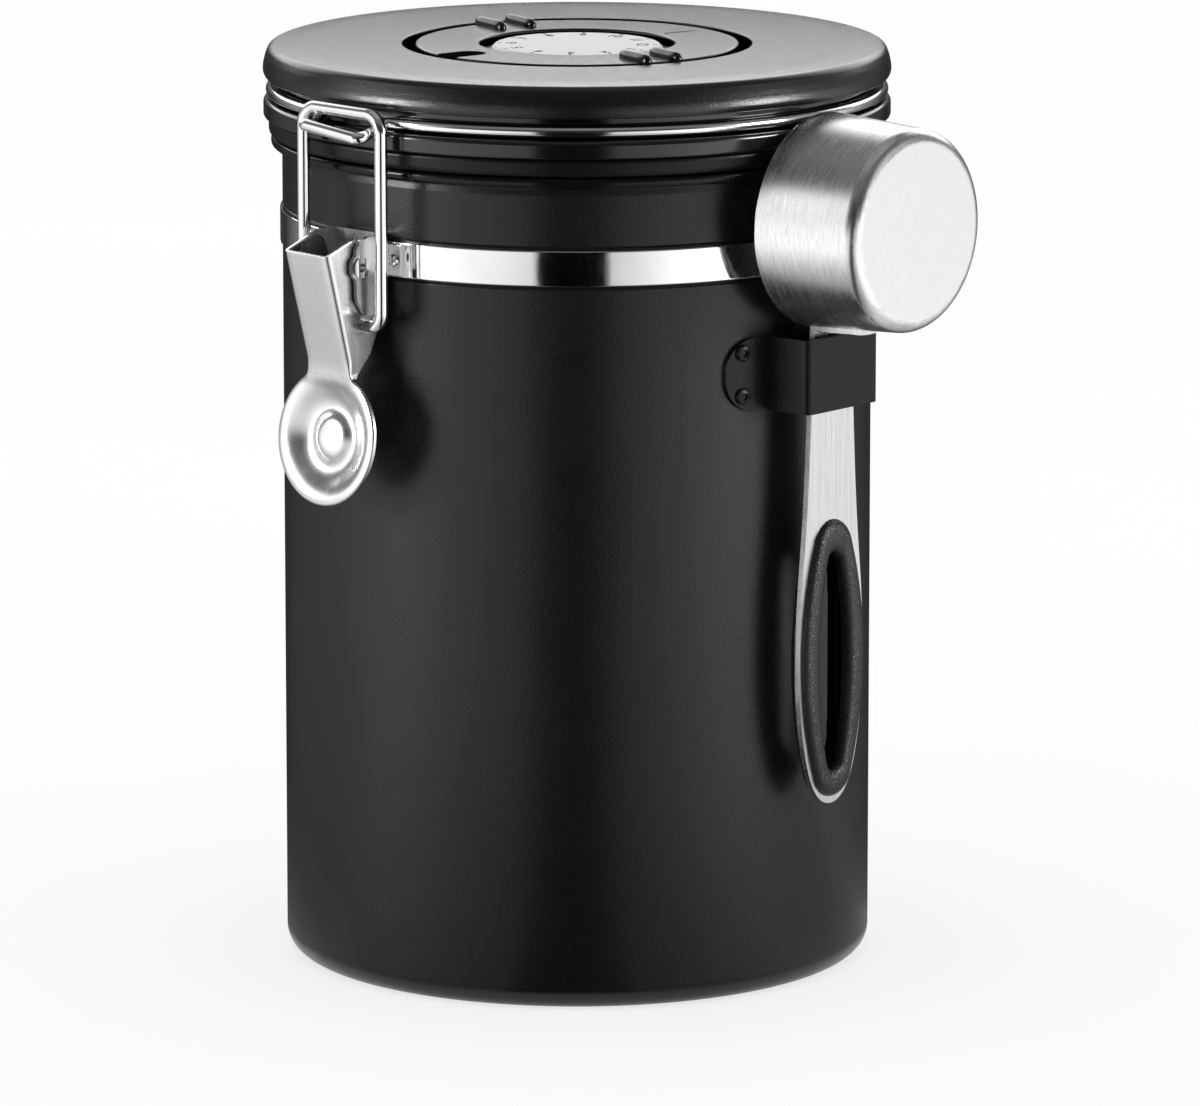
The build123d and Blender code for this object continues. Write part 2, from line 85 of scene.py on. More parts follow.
# ------------------------------------------------------------------ mesh helpers
def filleted(pts, closed=True, deg=12.0, support=True):
    """Polyline of (u, v[, radius]) points with its corners rounded into short runs."""
    out = []
    n = len(pts)
    for i, p in enumerate(pts):
        r = p[2] if len(p) > 2 else 0.0
        c = Vector((p[0], p[1]))
        if r <= 0 or (not closed and i in (0, n - 1)):
            out.append((c.x, c.y))
            continue
        a = Vector(pts[i - 1][:2]) - c
        b = Vector(pts[(i + 1) % n][:2]) - c
        la, lb = a.length, b.length
        a.normalize(); b.normalize()
        ang = a.angle(b)
        if ang > math.pi - 0.02:
            out.append((c.x, c.y))
            continue
        t = r / math.tan(ang / 2)
        bis = (a + b).normalized()
        o = c + bis * (r / math.sin(ang / 2))
        s, e = c + a * t, c + b * t
        va, vb = s - o, e - o
        turn = math.pi - ang
        steps = max(2, int(math.ceil(math.degrees(turn) / deg)))
        sgn = 1 if va.cross(vb) > 0 else -1
        if support:
            g = min(0.12, la * 0.1)
            out.append((s.x + a.x * g, s.y + a.y * g))
        for k in range(steps + 1):
            w = sgn * turn * k / steps
            q = Vector((va.x * math.cos(w) - va.y * math.sin(w), va.x * math.sin(w) + va.y * math.cos(w)))
            out.append((o.x + q.x, o.y + q.y))
        if support:
            g = min(0.12, lb * 0.1)
            out.append((e.x + b.x * g, e.y + b.y * g))
    return out


def finish_mesh(name, bm, body, mats, node=None, sharp=32.0, matrix=None):
    """Makes the object of a bmesh drawn in millimetres."""
    bmesh.ops.remove_doubles(bm, verts=bm.verts, dist=0.0004)
    if matrix is not None:
        bmesh.ops.transform(bm, matrix=matrix, verts=bm.verts)
    bmesh.ops.scale(bm, vec=(MM, MM, MM), verts=bm.verts)
    bmesh.ops.recalc_face_normals(bm, faces=bm.faces)
    lim = math.radians(sharp)
    for e in bm.edges:
        if len(e.link_faces) == 2:
            e.smooth = e.calc_face_angle(0.0) < lim
    for f in bm.faces:
        f.smooth = True
    me = bpy.data.meshes.new(name)
    bm.to_mesh(me)
    bm.free()
    for m in mats if isinstance(mats, (list, tuple)) else [mats]:
        me.materials.append(m)
    ob = bpy.data.objects.new(name, me)
    bpy.context.scene.collection.objects.link(ob)
    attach(ob, body)
    if node:
        for x in node if isinstance(node, (list, tuple)) else [node]:
            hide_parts(x)
    return ob


def lathe_bm(profile, n=256, mat_of=None):
    """Closed profile of (radius, z) turned about Z."""
    bm = bmesh.new()
    rows = []
    for r, z in profile:
        if r < 1e-6:
            v = bm.verts.new((0, 0, z))
            rows.append([v] * n)
        else:
            rows.append([bm.verts.new((r * math.cos(2 * math.pi * k / n), r * math.sin(2 * math.pi * k / n), z)) for k in range(n)])
    m = len(rows)
    for i in range(m):
        a, b = rows[i], rows[(i + 1) % m]
        if profile[i][0] < 1e-6 and profile[(i + 1) % m][0] < 1e-6:
            continue
        mi = mat_of(profile[i], profile[(i + 1) % m]) if mat_of else 0
        for k in range(n):
            k2 = (k + 1) % n
            vs = []
            for v in (a[k], a[k2], b[k2], b[k]):
                if v not in vs:
                    vs.append(v)
            if len(vs) > 2:
                f = bm.faces.new(vs)
                f.material_index = mi
    return bm


def path_round(pts, closed=False, deg=7.0):
    """3-D polyline of (x, y, z[, radius]) with rounded corners."""
    out = []
    n = len(pts)
    for i, p in enumerate(pts):
        c = Vector(p[:3])
        r = p[3] if len(p) > 3 else 0.0
        if r <= 0 or (not closed and i in (0, n - 1)):
            out.append(c)
            continue
        a = Vector(pts[i - 1][:3]) - c
        b = Vector(pts[(i + 1) % n][:3]) - c
        a.normalize(); b.normalize()
        ang = a.angle(b)
        if ang > math.pi - 0.01:
            out.append(c)
            continue
        t = r / math.tan(ang / 2)
        o = c + (a + b).normalized() * (r / math.sin(ang / 2))
        va = (c + a * t) - o
        axis = va.cross((c + b * t) - o).normalized()
        turn = math.pi - ang
        steps = max(2, int(math.ceil(math.degrees(turn) / deg)))
        for k in range(steps + 1):
            out.append(o + Matrix.Rotation(turn * k / steps, 3, axis) @ va)
    return out


def tube_bm(path, r, n=24, closed=False, caps=True):
    """Round wire along a list of points."""
    bm = bmesh.new()
    m = len(path)
    tans = []
    for i in range(m):
        if closed:
            t = path[(i + 1) % m] - path[i - 1]
        else:
            t = path[min(i + 1, m - 1)] - path[max(i - 1, 0)]
        tans.append(t.normalized())
    up = Vector((0, 0, 1))
    if abs(tans[0].dot(up)) > 0.9:
        up = Vector((1, 0, 0))
    nrm = (up - tans[0] * up.dot(tans[0])).normalized()
    frames = [nrm]
    for i in range(1, m):
        q = tans[i - 1].rotation_difference(tans[i])
        nrm = (q @ nrm)
        nrm = (nrm - tans[i] * nrm.dot(tans[i])).normalized()
        frames.append(nrm)
    twist = 0.0
    if closed:
        q = tans[-1].rotation_difference(tans[0])
        last = q @ frames[-1]
        twist = math.atan2(tans[0].dot(last.cross(frames[0])), last.dot(frames[0]))
    rings = []
    for i in range(m):
        bi = tans[i].cross(frames[i])
        extra = twist * i / m
        ring = []
        for k in range(n):
            a = 2 * math.pi * k / n + extra
            ring.append(bm.verts.new(path[i] + frames[i] * (r * math.cos(a)) + bi * (r * math.sin(a))))
        rings.append(ring)
    for i in range(m if closed else m - 1):
        a, b = rings[i], rings[(i + 1) % m]
        for k in range(n):
            bm.faces.new((a[k], a[(k + 1) % n], b[(k + 1) % n], b[k]))
    if not closed and caps:
        for ring, t, s in ((rings[0], tans[0], -1), (rings[-1], tans[-1], 1)):
            c = sum((v.co for v in ring), Vector()) / n
            inner = [bm.verts.new(c + (v.co - c) * 0.78 + t * s * r * 0.22) for v in ring]
            for k in range(n):
                bm.faces.new((ring[k], ring[(k + 1) % n], inner[(k + 1) % n], inner[k]))
            bm.faces.new(inner)
    return bm


def box_bm(bm, lo, hi, bevel=0.0, seg=2, matrix=None):
    """Adds a block with rounded edges to a bmesh."""
    b2 = bmesh.new()
    bmesh.ops.create_cube(b2, size=1.0)
    for v in b2.verts:
        v.co = Vector([lo[i] + (v.co[i] + 0.5) * (hi[i] - lo[i]) for i in range(3)])
    if bevel:
        bmesh.ops.bevel(b2, geom=b2.edges[:], offset=bevel, segments=seg, profile=0.5, affect="EDGES")
    if matrix is not None:
        bmesh.ops.transform(b2, matrix=matrix, verts=b2.verts)
    add_bm(bm, b2)


def add_bm(bm, other):
    me = bpy.data.meshes.new("tmp")
    other.to_mesh(me)
    other.free()
    bm.from_mesh(me)
    bpy.data.meshes.remove(me)


def boolean_cut(ob, cutters):
    """Cuts closed meshes out of an object and keeps its materials."""
    for c in cutters:
        mod = ob.modifiers.new("cut", "BOOLEAN")
        mod.operation = "DIFFERENCE"
        mod.solver = "EXACT"
        mod.object = c
    bpy.context.view_layer.update()
    dg = bpy.context.evaluated_depsgraph_get()
    me = bpy.data.meshes.new_from_object(ob.evaluated_get(dg))
    ob.modifiers.clear()
    old = ob.data
    ob.data = me
    bpy.data.meshes.remove(old)
    for c in cutters:
        bpy.data.objects.remove(c)


def scratch_object(bm):
    bmesh.ops.scale(bm, vec=(MM, MM, MM), verts=bm.verts)
    bmesh.ops.recalc_face_normals(bm, faces=bm.faces)
    me = bpy.data.meshes.new("cutter")
    bm.to_mesh(me)
    bm.free()
    ob = bpy.data.objects.new("cutter", me)
    bpy.context.scene.collection.objects.link(ob)
    return ob


# ------------------------------------------------------------------ materials
class Mat:
    """Small helper around one Principled material."""

    def __init__(self, name):
        self.m = bpy.data.materials.new(name)
        self.m.use_nodes = True
        self.t = self.m.node_tree
        self.bsdf = next(n for n in self.t.nodes if n.type == "BSDF_PRINCIPLED")
        self.co = self.t.nodes.new("ShaderNodeTexCoord").outputs["Object"]

    def set(self, **kw):
        for k, v in kw.items():
            self.bsdf.inputs[k.replace("_", " ")].default_value = v
        return self

    def node(self, kind, **kw):
        n = self.t.nodes.new(kind)
        for k, v in kw.items():
            setattr(n, k, v)
        return n

    def link(self, a, b):
        self.t.links.new(a, b)

    def noise(self, scale, detail=3.0, rough=0.5, co=None, distortion=0.0):
        n = self.node("ShaderNodeTexNoise")
        n.inputs["Scale"].default_value = scale
        n.inputs["Detail"].default_value = detail
        n.inputs["Roughness"].default_value = rough
        n.inputs["Distortion"].default_value = distortion
        self.link(co or self.co, n.inputs["Vector"])
        return n.outputs["Fac"]

    def mapping(self, scale=(1, 1, 1), rot=(0, 0, 0), loc=(0, 0, 0), co=None):
        n = self.node("ShaderNodeMapping")
        n.inputs["Scale"].default_value = scale
        n.inputs["Rotation"].default_value = rot
        n.inputs["Location"].default_value = loc
        self.link(co or self.co, n.inputs["Vector"])
        return n.outputs["Vector"]

    def ramp(self, fac, lo, hi, a=0.0, b=1.0):
        n = self.node("ShaderNodeMapRange")
        n.inputs["From Min"].default_value = lo
        n.inputs["From Max"].default_value = hi
        n.inputs["To Min"].default_value = a
        n.inputs["To Max"].default_value = b
        self.link(fac, n.inputs["Value"])
        return n.outputs["Result"]

    def mix(self, fac, c1, c2, socket="Base Color"):
        n = self.node("ShaderNodeMix", data_type="RGBA")
        self.link(fac, n.inputs[0])
        n.inputs[6].default_value = (*c1, 1)
        n.inputs[7].default_value = (*c2, 1)
        if socket:
            self.link(n.outputs[2], self.bsdf.inputs[socket])
        return n.outputs[2]

    def math(self, op, a, b=None, c=None):
        n = self.node("ShaderNodeMath", operation=op)
        for i, x in enumerate((a, b, c)):
            if x is None:
                continue
            if isinstance(x, (int, float)):
                n.inputs[i].default_value = x
            else:
                self.link(x, n.inputs[i])
        return n.outputs[0]

    def rough(self, fac, a, b):
        self.link(self.ramp(fac, 0.3, 0.7, a, b), self.bsdf.inputs["Roughness"])

    def bump(self, height, dist, strength=1.0):
        n = self.node("ShaderNodeBump")
        n.inputs["Distance"].default_value = dist
        n.inputs["Strength"].default_value = strength
        self.link(height, n.inputs["Height"])
        prev = self.bsdf.inputs["Normal"].links
        if prev:
            self.link(prev[0].from_socket, n.inputs["Normal"])
        self.link(n.outputs["Normal"], self.bsdf.inputs["Normal"])


def grained(name, dark, light, r0, r1, grain=2300.0, height=0.00003, spec=0.5, coat=0.0, ior=1.5):
    """Painted or moulded surface with a fine grain, slight colour and gloss drift."""
    m = Mat(name)
    m.set(Specular_IOR_Level=spec, Coat_Weight=coat, Coat_Roughness=0.2, IOR=ior)
    big = m.noise(38.0, 4.0)
    fine = m.noise(grain, 2.0, 0.6)
    m.mix(m.ramp(m.math("ADD", m.math("MULTIPLY", big, 0.55), m.math("MULTIPLY", fine, 0.45)), 0.35, 0.65), dark, light)
    m.rough(m.math("ADD", m.math("MULTIPLY", m.noise(95.0, 4.0), 0.6), m.math("MULTIPLY", fine, 0.4)), r0, r1)
    m.bump(fine, height)
    return m.m


def polished(name, col, r0, r1, wave=0.00002, smear=0.0):
    """Polished metal: faint orange peel, fine wipe marks and slightly uneven gloss."""
    m = Mat(name)
    m.set(Metallic=1.0)
    wipe = m.noise(900.0, 3.0, 0.6, co=m.mapping(scale=(1.0, 1.0, 0.08)))
    big = m.noise(120.0, 3.0)
    m.mix(m.ramp(big, 0.3, 0.7), tuple(c * 0.93 for c in col), col)
    m.rough(m.math("ADD", m.math("MULTIPLY", wipe, 0.5), m.math("MULTIPLY", big, 0.5)), r0, r1)
    m.bump(m.noise(260.0, 2.0), wave)
    if smear:
        m.bump(wipe, smear)
    return m.m


def brushed(name, co_of, col, r0, r1, height, contrast=0.25, metal=1.0):
    """Brushed steel: long fine scratches along one direction."""
    m = Mat(name)
    m.set(Metallic=metal)
    co = co_of(m)
    s1 = m.noise(1.0, 3.0, 0.65, co=co)
    s2 = m.noise(3.7, 2.0, 0.6, co=co)
    s = m.math("ADD", m.math("MULTIPLY", s1, 0.6), m.math("MULTIPLY", s2, 0.4))
    m.mix(m.ramp(s, 0.35, 0.65), tuple(c * (1 - contrast) for c in col), col)
    m.rough(s, r0, r1)
    m.bump(s, height)
    return m.m


BODY_BLACK = grained("body_black", (0.0028, 0.0028, 0.003), (0.005, 0.005, 0.0052), 0.26, 0.33, 2400.0, 0.00004, 0.36)
COVER_MATTE = grained("cover_matte", (0.003, 0.003, 0.0032), (0.006, 0.006, 0.0063), 0.20, 0.27, 2500.0, 0.00006, 0.6)
RING_MATTE = grained("ring_matte", (0.003, 0.003, 0.0032), (0.006, 0.006, 0.0063), 0.20, 0.28, 2600.0, 0.00003, 0.6)
# black made darker and without gloss as painted shade, for the cover's recess round the dial, the date ring's hidden
# sides, the cut pointer line and the day disc under the window; the day disc is black plastic too, its extra darkness
# is painted shade
RECESS_SHADE_BLACK = grained("recess_black_painted_shade", (0.001, 0.001, 0.001), (0.002, 0.002, 0.002), 0.4, 0.55, 1500.0, 0.00001, 0.0)
FLANGE_GLOSS = grained("flange_gloss", (0.002, 0.002, 0.0022), (0.004, 0.004, 0.0042), 0.10, 0.17, 500.0, 0.000006, 0.5, 0.25)
GASKET = grained("gasket_silicone", (0.002, 0.002, 0.0022), (0.004, 0.004, 0.0042), 0.26, 0.36, 1500.0, 0.00003, 0.22)
RIM_BLACK = grained("rim_black", (0.002, 0.002, 0.0022), (0.004, 0.004, 0.0042), 0.12, 0.18, 1500.0, 0.00001, 0.22)
PEG_GLOSS = grained("grip_gloss", (0.003, 0.003, 0.0032), (0.005, 0.005, 0.0052), 0.10, 0.18, 700.0, 0.000006, 0.4, 0.0)
HUB_BLACK = grained("hub_black", (0.003, 0.003, 0.0032), (0.005, 0.005, 0.0052), 0.28, 0.4, 1200.0, 0.00002, 0.45)
BRACKET_BLACK = grained("bracket_black", (0.002, 0.002, 0.0022), (0.004, 0.004, 0.0042), 0.24, 0.32, 2400.0, 0.00003, 0.2)
PRINT_WHITE = grained("print_white", (0.62, 0.62, 0.6), (0.7, 0.7, 0.68), 0.4, 0.5, 1500.0, 0.000005)
PRINT_DARK = grained("print_dark", (0.02, 0.02, 0.022), (0.03, 0.03, 0.032), 0.4, 0.5, 1500.0, 0.000005, 0.0)
VALVE_WHITE = grained("valve_plastic", (0.6, 0.6, 0.58), (0.7, 0.7, 0.68), 0.35, 0.45, 1200.0, 0.00001)
VALVE_SOFT = grained("valve_silicone", (0.5, 0.5, 0.49), (0.6, 0.6, 0.59), 0.3, 0.42, 900.0, 0.00001)
CHROME = polished("band_steel", (0.82, 0.82, 0.83), 0.05, 0.10, 0.000012)
WIRE_STEEL = polished("wire_steel", (0.84, 0.84, 0.85), 0.07, 0.13, 0.000008)
LATCH_STEEL = polished("latch_steel", (0.74, 0.74, 0.745), 0.20, 0.30, 0.00001, 0.000003)
RIVET_STEEL = polished("rivet_steel", (0.80, 0.80, 0.81), 0.08, 0.16, 0.000006)
LEVER_STEEL = polished("lever_steel", (0.62, 0.62, 0.625), 0.22, 0.31, 0.000003, 0.000002)
# inside of the lever's channel: the same steel as outside, made much darker as painted shade
LEVER_INSIDE_SHADE = polished("lever_inside_painted_shade", (0.16, 0.16, 0.163), 0.24, 0.33, 0.000003, 0.000002)
FILTER = grained("filter_mesh", (0.6, 0.6, 0.58), (0.8, 0.8, 0.78), 0.7, 0.9, 2500.0, 0.0001, 0.2)

TURN = math.radians(4.0)


def scoop_axes(m):
    """Scoop frame: X outwards, Y across, Z up from the cup's axis."""
    co = m.mapping(rot=(0, 0, -TURN))
    sep = m.node("ShaderNodeSeparateXYZ")
    m.link(co, sep.inputs[0])
    return sep.outputs


def join3(m, x, y, z):
    n = m.node("ShaderNodeCombineXYZ")
    for i, v in enumerate((x, y, z)):
        if isinstance(v, (int, float)):
            n.inputs[i].default_value = v
        else:
            m.link(v, n.inputs[i])
    return n.outputs[0]


def cup_round(m):
    x, y, z = scoop_axes(m)
    a = m.math("ARCTAN2", m.math("SUBTRACT", z, 0.1554), y)
    return join3(m, m.math("MULTIPLY", x, 2600.0), m.math("MULTIPLY", a, 3.0), 0.0)


def cup_straight(m):
    x, y, z = scoop_axes(m)
    c, s = math.cos(math.radians(52)), math.sin(math.radians(52))
    u = m.math("ADD", m.math("MULTIPLY", y, c), m.math("MULTIPLY", z, s))
    v = m.math("SUBTRACT", m.math("MULTIPLY", z, c), m.math("MULTIPLY", y, s))
    return join3(m, m.math("MULTIPLY", u, 60.0), m.math("MULTIPLY", v, 2400.0), 0.0)


def handle_lines(m):
    x, y, z = scoop_axes(m)
    return join3(m, m.math("MULTIPLY", y, 2400.0), m.math("MULTIPLY", x, 300.0), m.math("MULTIPLY", z, 45.0))


def dial_lines(m):
    sep = m.node("ShaderNodeSeparateXYZ")
    m.link(m.co, sep.inputs[0])
    x, y, z = sep.outputs
    r = m.math("SQRT", m.math("ADD", m.math("MULTIPLY", x, x), m.math("MULTIPLY", y, y)))
    return join3(m, m.math("MULTIPLY", r, 3000.0), m.math("MULTIPLY", m.math("ARCTAN2", y, x), 2.0), 0.0)


def inner_lines(m):
    sep = m.node("ShaderNodeSeparateXYZ")
    m.link(m.co, sep.inputs[0])
    x, y, z = sep.outputs
    return join3(m, m.math("MULTIPLY", z, 900.0), m.math("MULTIPLY", m.math("ARCTAN2", y, x), 4.0), 0.0)


CUP_SIDE = brushed("cup_steel_side", cup_round, (0.86, 0.86, 0.865), 0.20, 0.32, 0.000010, 0.38)
CUP_END = brushed("cup_steel_end", cup_straight, (0.86, 0.86, 0.865), 0.30, 0.42, 0.000006, 0.12)
HANDLE_STEEL = brushed("handle_steel", handle_lines, (0.76, 0.76, 0.77), 0.22, 0.34, 0.000008, 0.3)
DIAL_SILVER = brushed("dial_silver", dial_lines, (0.60, 0.60, 0.60), 0.5, 0.6, 0.000003, 0.08, 0.25)
INNER_STEEL = brushed("inner_steel", inner_lines, (0.52, 0.52, 0.53), 0.30, 0.42, 0.000006, 0.15, 0.55)


def rubber(name):
    m = Mat(name)
    m.set(Specular_IOR_Level=0.45)
    vor = m.node("ShaderNodeTexVoronoi", feature="DISTANCE_TO_EDGE")
    vor.inputs["Scale"].default_value = 2700.0
    m.link(m.co, vor.inputs["Vector"])
    cell = m.ramp(vor.outputs["Distance"], 0.0, 0.22)
    fine = m.noise(4200.0, 2.0)
    m.mix(m.ramp(m.noise(150.0, 3.0), 0.3, 0.7), (0.004, 0.004, 0.0042), (0.008, 0.008, 0.0082))
    m.rough(fine, 0.24, 0.36)
    m.bump(cell, 0.00003, 0.9)
    m.bump(fine, 0.00002)
    return m.m


GRIP_RUBBER = rubber("grip_rubber")
# near-black rubber without gloss for the inside of the slot: painted shade
GRIP_SLOT_SHADE = grained("grip_slot_painted_shade", (0.001, 0.001, 0.001), (0.002, 0.002, 0.002), 0.6, 0.7, 2400.0, 0.00002, 0.0)

for node, m in {
    "latch_bracket": LATCH_STEEL, "latch_bracket_rivets": RIVET_STEEL, "latch_pivot_pin": RIVET_STEEL, "hinge_plate": LATCH_STEEL,
    "hinge_plate_rivets": RIVET_STEEL, "scoop_bracket": BRACKET_BLACK, "scoop_bracket_rivets": BRACKET_BLACK, "latch_lever": LEVER_STEEL,
    "tension_loop": WIRE_STEEL, "lid_ring_wire": WIRE_STEEL, "lid_base": FLANGE_GLOSS, "lid_gasket": GASKET, "lid_cover": COVER_MATTE,
    "day_disc": RECESS_SHADE_BLACK, "date_ring": RING_MATTE, "ring_grips": PEG_GLOSS, "dial_hub": HUB_BLACK, "month_dial": DIAL_SILVER,
    "dial_clip": RIVET_STEEL, "valve_seat": VALVE_WHITE, "valve_flap": VALVE_SOFT, "valve_filter": FILTER, "valve_cap": FLANGE_GLOSS,
    "neck_band": CHROME, "can_body": BODY_BLACK, "scoop_cup": CUP_SIDE, "scoop_handle": HANDLE_STEEL, "scoop_grip": GRIP_RUBBER,
}.items():
    ob = NODES[node]
    if not ob.material_slots:
        ob.data.materials.append(m)
    for s in ob.material_slots:
        s.material = m

# ------------------------------------------------------------------ can body
BODY_R, WALL, GROOVE_R = 59.0, 0.6, 58.6
body_profile = filleted([
    (0, 0), (38, 0, 1.0), (39.6, 1.2, 1.0), (46.4, 1.2, 1.0), (48, 0, 1.0),
    (59.0, 0, 4.5), (59.0, 144.2, 0.5), (58.6, 144.6, 0.3), (58.6, 152.2, 0.3), (59.0, 152.7, 0.5), (59.0, 162.6, 1.5), (58.75, 164.3, 0.4),
    (61.2, 164.3, 0.9), (61.2, 166.4, 0.9), (57.6, 166.4, 0.3),
    (57.6, 163.0, 1.5), (58.4, 161.8, 1.5), (58.4, 152.5, 0.5), (58.0, 152.0, 0.5), (58.0, 144.8, 0.5), (58.4, 144.4, 0.5),
    (58.4, 0.8, 3.9), (48.3, 0.8, 0.6), (46.8, 2.0, 0.6), (39.2, 2.0, 0.6), (37.7, 0.8, 0.6), (0, 0.8),
])


body_index = {p: i for i, p in enumerate(body_profile)}
mouth = next(i for i, p in enumerate(body_profile) if p[1] > 165.9 and p[0] < 57.8)


def body_side(p, q):
    if body_index[p] >= mouth:
        return 1
    if p[1] > 163.9:
        return 2
    return 0


canister = finish_mesh("canister_wall", lathe_bm(body_profile, 320, body_side), "canister", [BODY_BLACK, INNER_STEEL, RIM_BLACK], "can_body")

# neck band round the body
band = lathe_bm(filleted([(58.63, 144.9), (59.5, 144.9, 0.3), (59.5, 151.9, 0.3), (58.63, 151.9)]), 320)
finish_mesh("neck_strap", band, "canister", CHROME, "neck_band")

# ------------------------------------------------------------------ lid
finish_mesh("lid_underside", lathe_bm(filleted([
    (9.1, 158.5, 0.3), (56.0, 158.5, 1.2), (56.0, 170.3), (62.7, 170.3, 0.5), (62.7, 173.9, 1.0),
    (59.6, 173.9, 0.3), (59.6, 181.6), (57.8, 181.6), (57.8, 173.0, 0.8), (54.2, 173.0, 0.8), (54.2, 160.4, 1.0), (9.1, 160.4, 0.3),
]), 320), "lid", FLANGE_GLOSS, "lid_base")
finish_mesh("lid_seal", lathe_bm(filleted([
    (56.03, 166.5), (59.4, 166.5), (61.65, 166.5, 1.3), (61.65, 170.28, 1.0), (56.03, 170.28),
]), 320), "lid", GASKET, "lid_gasket")
# the walls and floor of the recess round the dial get the darker black, painted shade
finish_mesh("lid_top", lathe_bm(filleted([
    (4.05, 180.5), (34.9, 180.5), (34.9, 184.5, 0.35), (56.0, 184.5, 20), (61.55, 184.3, 1.7),
    (62.35, 182.2, 5.0), (62.72, 180.6, 4.0), (62.8, 179.3, 2.0), (62.3, 178.1, 0.9), (60.4, 178.1), (60.4, 181.65, 0.8), (36.4, 181.65, 0.3), (36.4, 179.0, 0.3), (4.05, 179.0),
], deg=5.0), 320, lambda p, q: 1 if max(p[0], q[0]) < 34.95 and min(p[1], q[1]) > 180.4 and max(p[1], q[1]) < 184.2 else 0), "lid", [COVER_MATTE, RECESS_SHADE_BLACK], "lid_cover")

# date ring with its window
# the ring's sides and underside get the darker black, painted shade
ring = finish_mesh("date_wheel_ring", lathe_bm(filleted([
    (17.6, 180.95), (32.3, 180.95), (32.3, 184.5, 0.4), (19.5, 184.5, 0.4), (19.5, 181.65), (17.6, 181.65),
]), 320, lambda p, q: 1 if max(p[1], q[1]) < 184.05 else 0), "date_wheel", [RING_MATTE, RECESS_SHADE_BLACK], "date_ring")
c1 = bmesh.new()
rot_w = Matrix.Rotation(math.radians(261.9), 4, "Z")
outline = [(36.0, -3.2), (36.0, 3.2)] + [(26.6 - 3.2 * math.sin(math.pi * k / 20), 3.2 * math.cos(math.pi * k / 20)) for k in range(21)]
lo = [c1.verts.new(rot_w @ Vector((x, y, 179.5))) for x, y in outline]
hi = [c1.verts.new(rot_w @ Vector((x, y, 187.0))) for x, y in outline]
c1.faces.new(lo)
c1.faces.new(hi)
for k in range(len(outline)):
    k2 = (k + 1) % len(outline)
    c1.faces.new((lo[k], lo[k2], hi[k2], hi[k]))
c2 = bmesh.new()
box_bm(c2, (21.2, -0.35, 184.2), (28.8, 0.35, 186.0), matrix=Matrix.Rotation(math.radians(79.6), 4, "Z"))
boolean_cut(ring, [scratch_object(c1), scratch_object(c2)])
# the floor of the cut pointer line in the darker black, painted shade in the cut
ln = bmesh.new()
box_bm(ln, (21.22, -0.33, 184.15), (28.78, 0.33, 184.25), matrix=Matrix.Rotation(math.radians(79.6), 4, "Z"))
finish_mesh("date_pointer_line", ln, "date_wheel", RECESS_SHADE_BLACK)

# finger ribs: rounded wedges
pegs = bmesh.new()
for ang in (-14.0, 166.0):
    for s in (-1, 1):
        b = bmesh.new()
        L, W, H = 10.8, 2.2, 1.7
        nx, nt = 26, 16
        rows = []
        for i in range(nx + 1):
            u = -1 + 2 * i / nx
            end = (1 - abs(u) ** 7) ** 0.5
            h = H * (0.3 + 0.7 * end)
            wid = W / 2 * (0.3 + 0.7 * (1 - abs(u) ** 6) ** 0.5)
            row = []
            for k in range(nt + 1):
                a = math.pi * k / nt
                cx_, sx_ = math.cos(a), math.sin(a)
                row.append(b.verts.new((28.1 + u * L / 2, s * 3.5 + wid * math.copysign(abs(cx_) ** 0.9, cx_), 184.52 + min(h, H) * (sx_ ** 1.0))))
            rows.append(row)
        for i in range(nx):
            for k in range(nt):
                b.faces.new((rows[i][k], rows[i][k + 1], rows[i + 1][k + 1], rows[i + 1][k]))
        b.faces.new(rows[0])
        b.faces.new(rows[-1][::-1])
        b.faces.new([r[0] for r in rows] + [r[-1] for r in rows[::-1]])
        bmesh.ops.rotate(b, verts=b.verts, cent=(0, 0, 0), matrix=Matrix.Rotation(math.radians(ang), 3, "Z"))
        add_bm(pegs, b)
finish_mesh("finger_ribs", pegs, "date_wheel", PEG_GLOSS, "ring_grips", sharp=50)

# month dial plate, its hub and the printed marks
finish_mesh("dial_tray", lathe_bm(filleted([
    (0, 176.6), (3.6, 176.6, 0.3), (3.95, 177.0), (3.95, 177.7), (3.2, 177.7), (3.2, 178.6), (3.95, 178.6), (3.95, 180.6),
    (16.6, 180.6), (16.6, 181.85), (19.2, 181.85), (19.2, 182.8, 0.3), (0, 182.8),
]), 192), "month_wheel", HUB_BLACK, "dial_hub")
finish_mesh("dial_plate", lathe_bm(filleted([(0, 182.83), (17.1, 182.83), (17.1, 183.5, 0.1), (16.4, 184.15, 0.3), (0, 184.15)]), 256), "month_wheel", DIAL_SILVER, "month_dial")


def add_number(target, number, size, weight, place):
    """A plain printed number, flat on its surface, with its head away from the centre."""
    cu = bpy.data.curves.new("figure", "FONT")
    cu.body = str(number)
    cu.align_x, cu.align_y = "CENTER", "CENTER"
    cu.size = size
    cu.offset = weight
    cu.extrude = 0.012
    cu.resolution_u = 3
    fig = bpy.data.objects.new("figure", cu)
    bpy.context.scene.collection.objects.link(fig)
    bpy.context.view_layer.update()
    fm = bpy.data.meshes.new_from_object(fig.evaluated_get(bpy.context.evaluated_depsgraph_get()))
    bpy.data.objects.remove(fig)
    fb = bmesh.new()
    fb.from_mesh(fm)
    bpy.data.meshes.remove(fm)
    bmesh.ops.transform(fb, matrix=place @ Matrix.Rotation(math.radians(-90), 4, "Z"), verts=fb.verts)
    add_bm(target, fb)


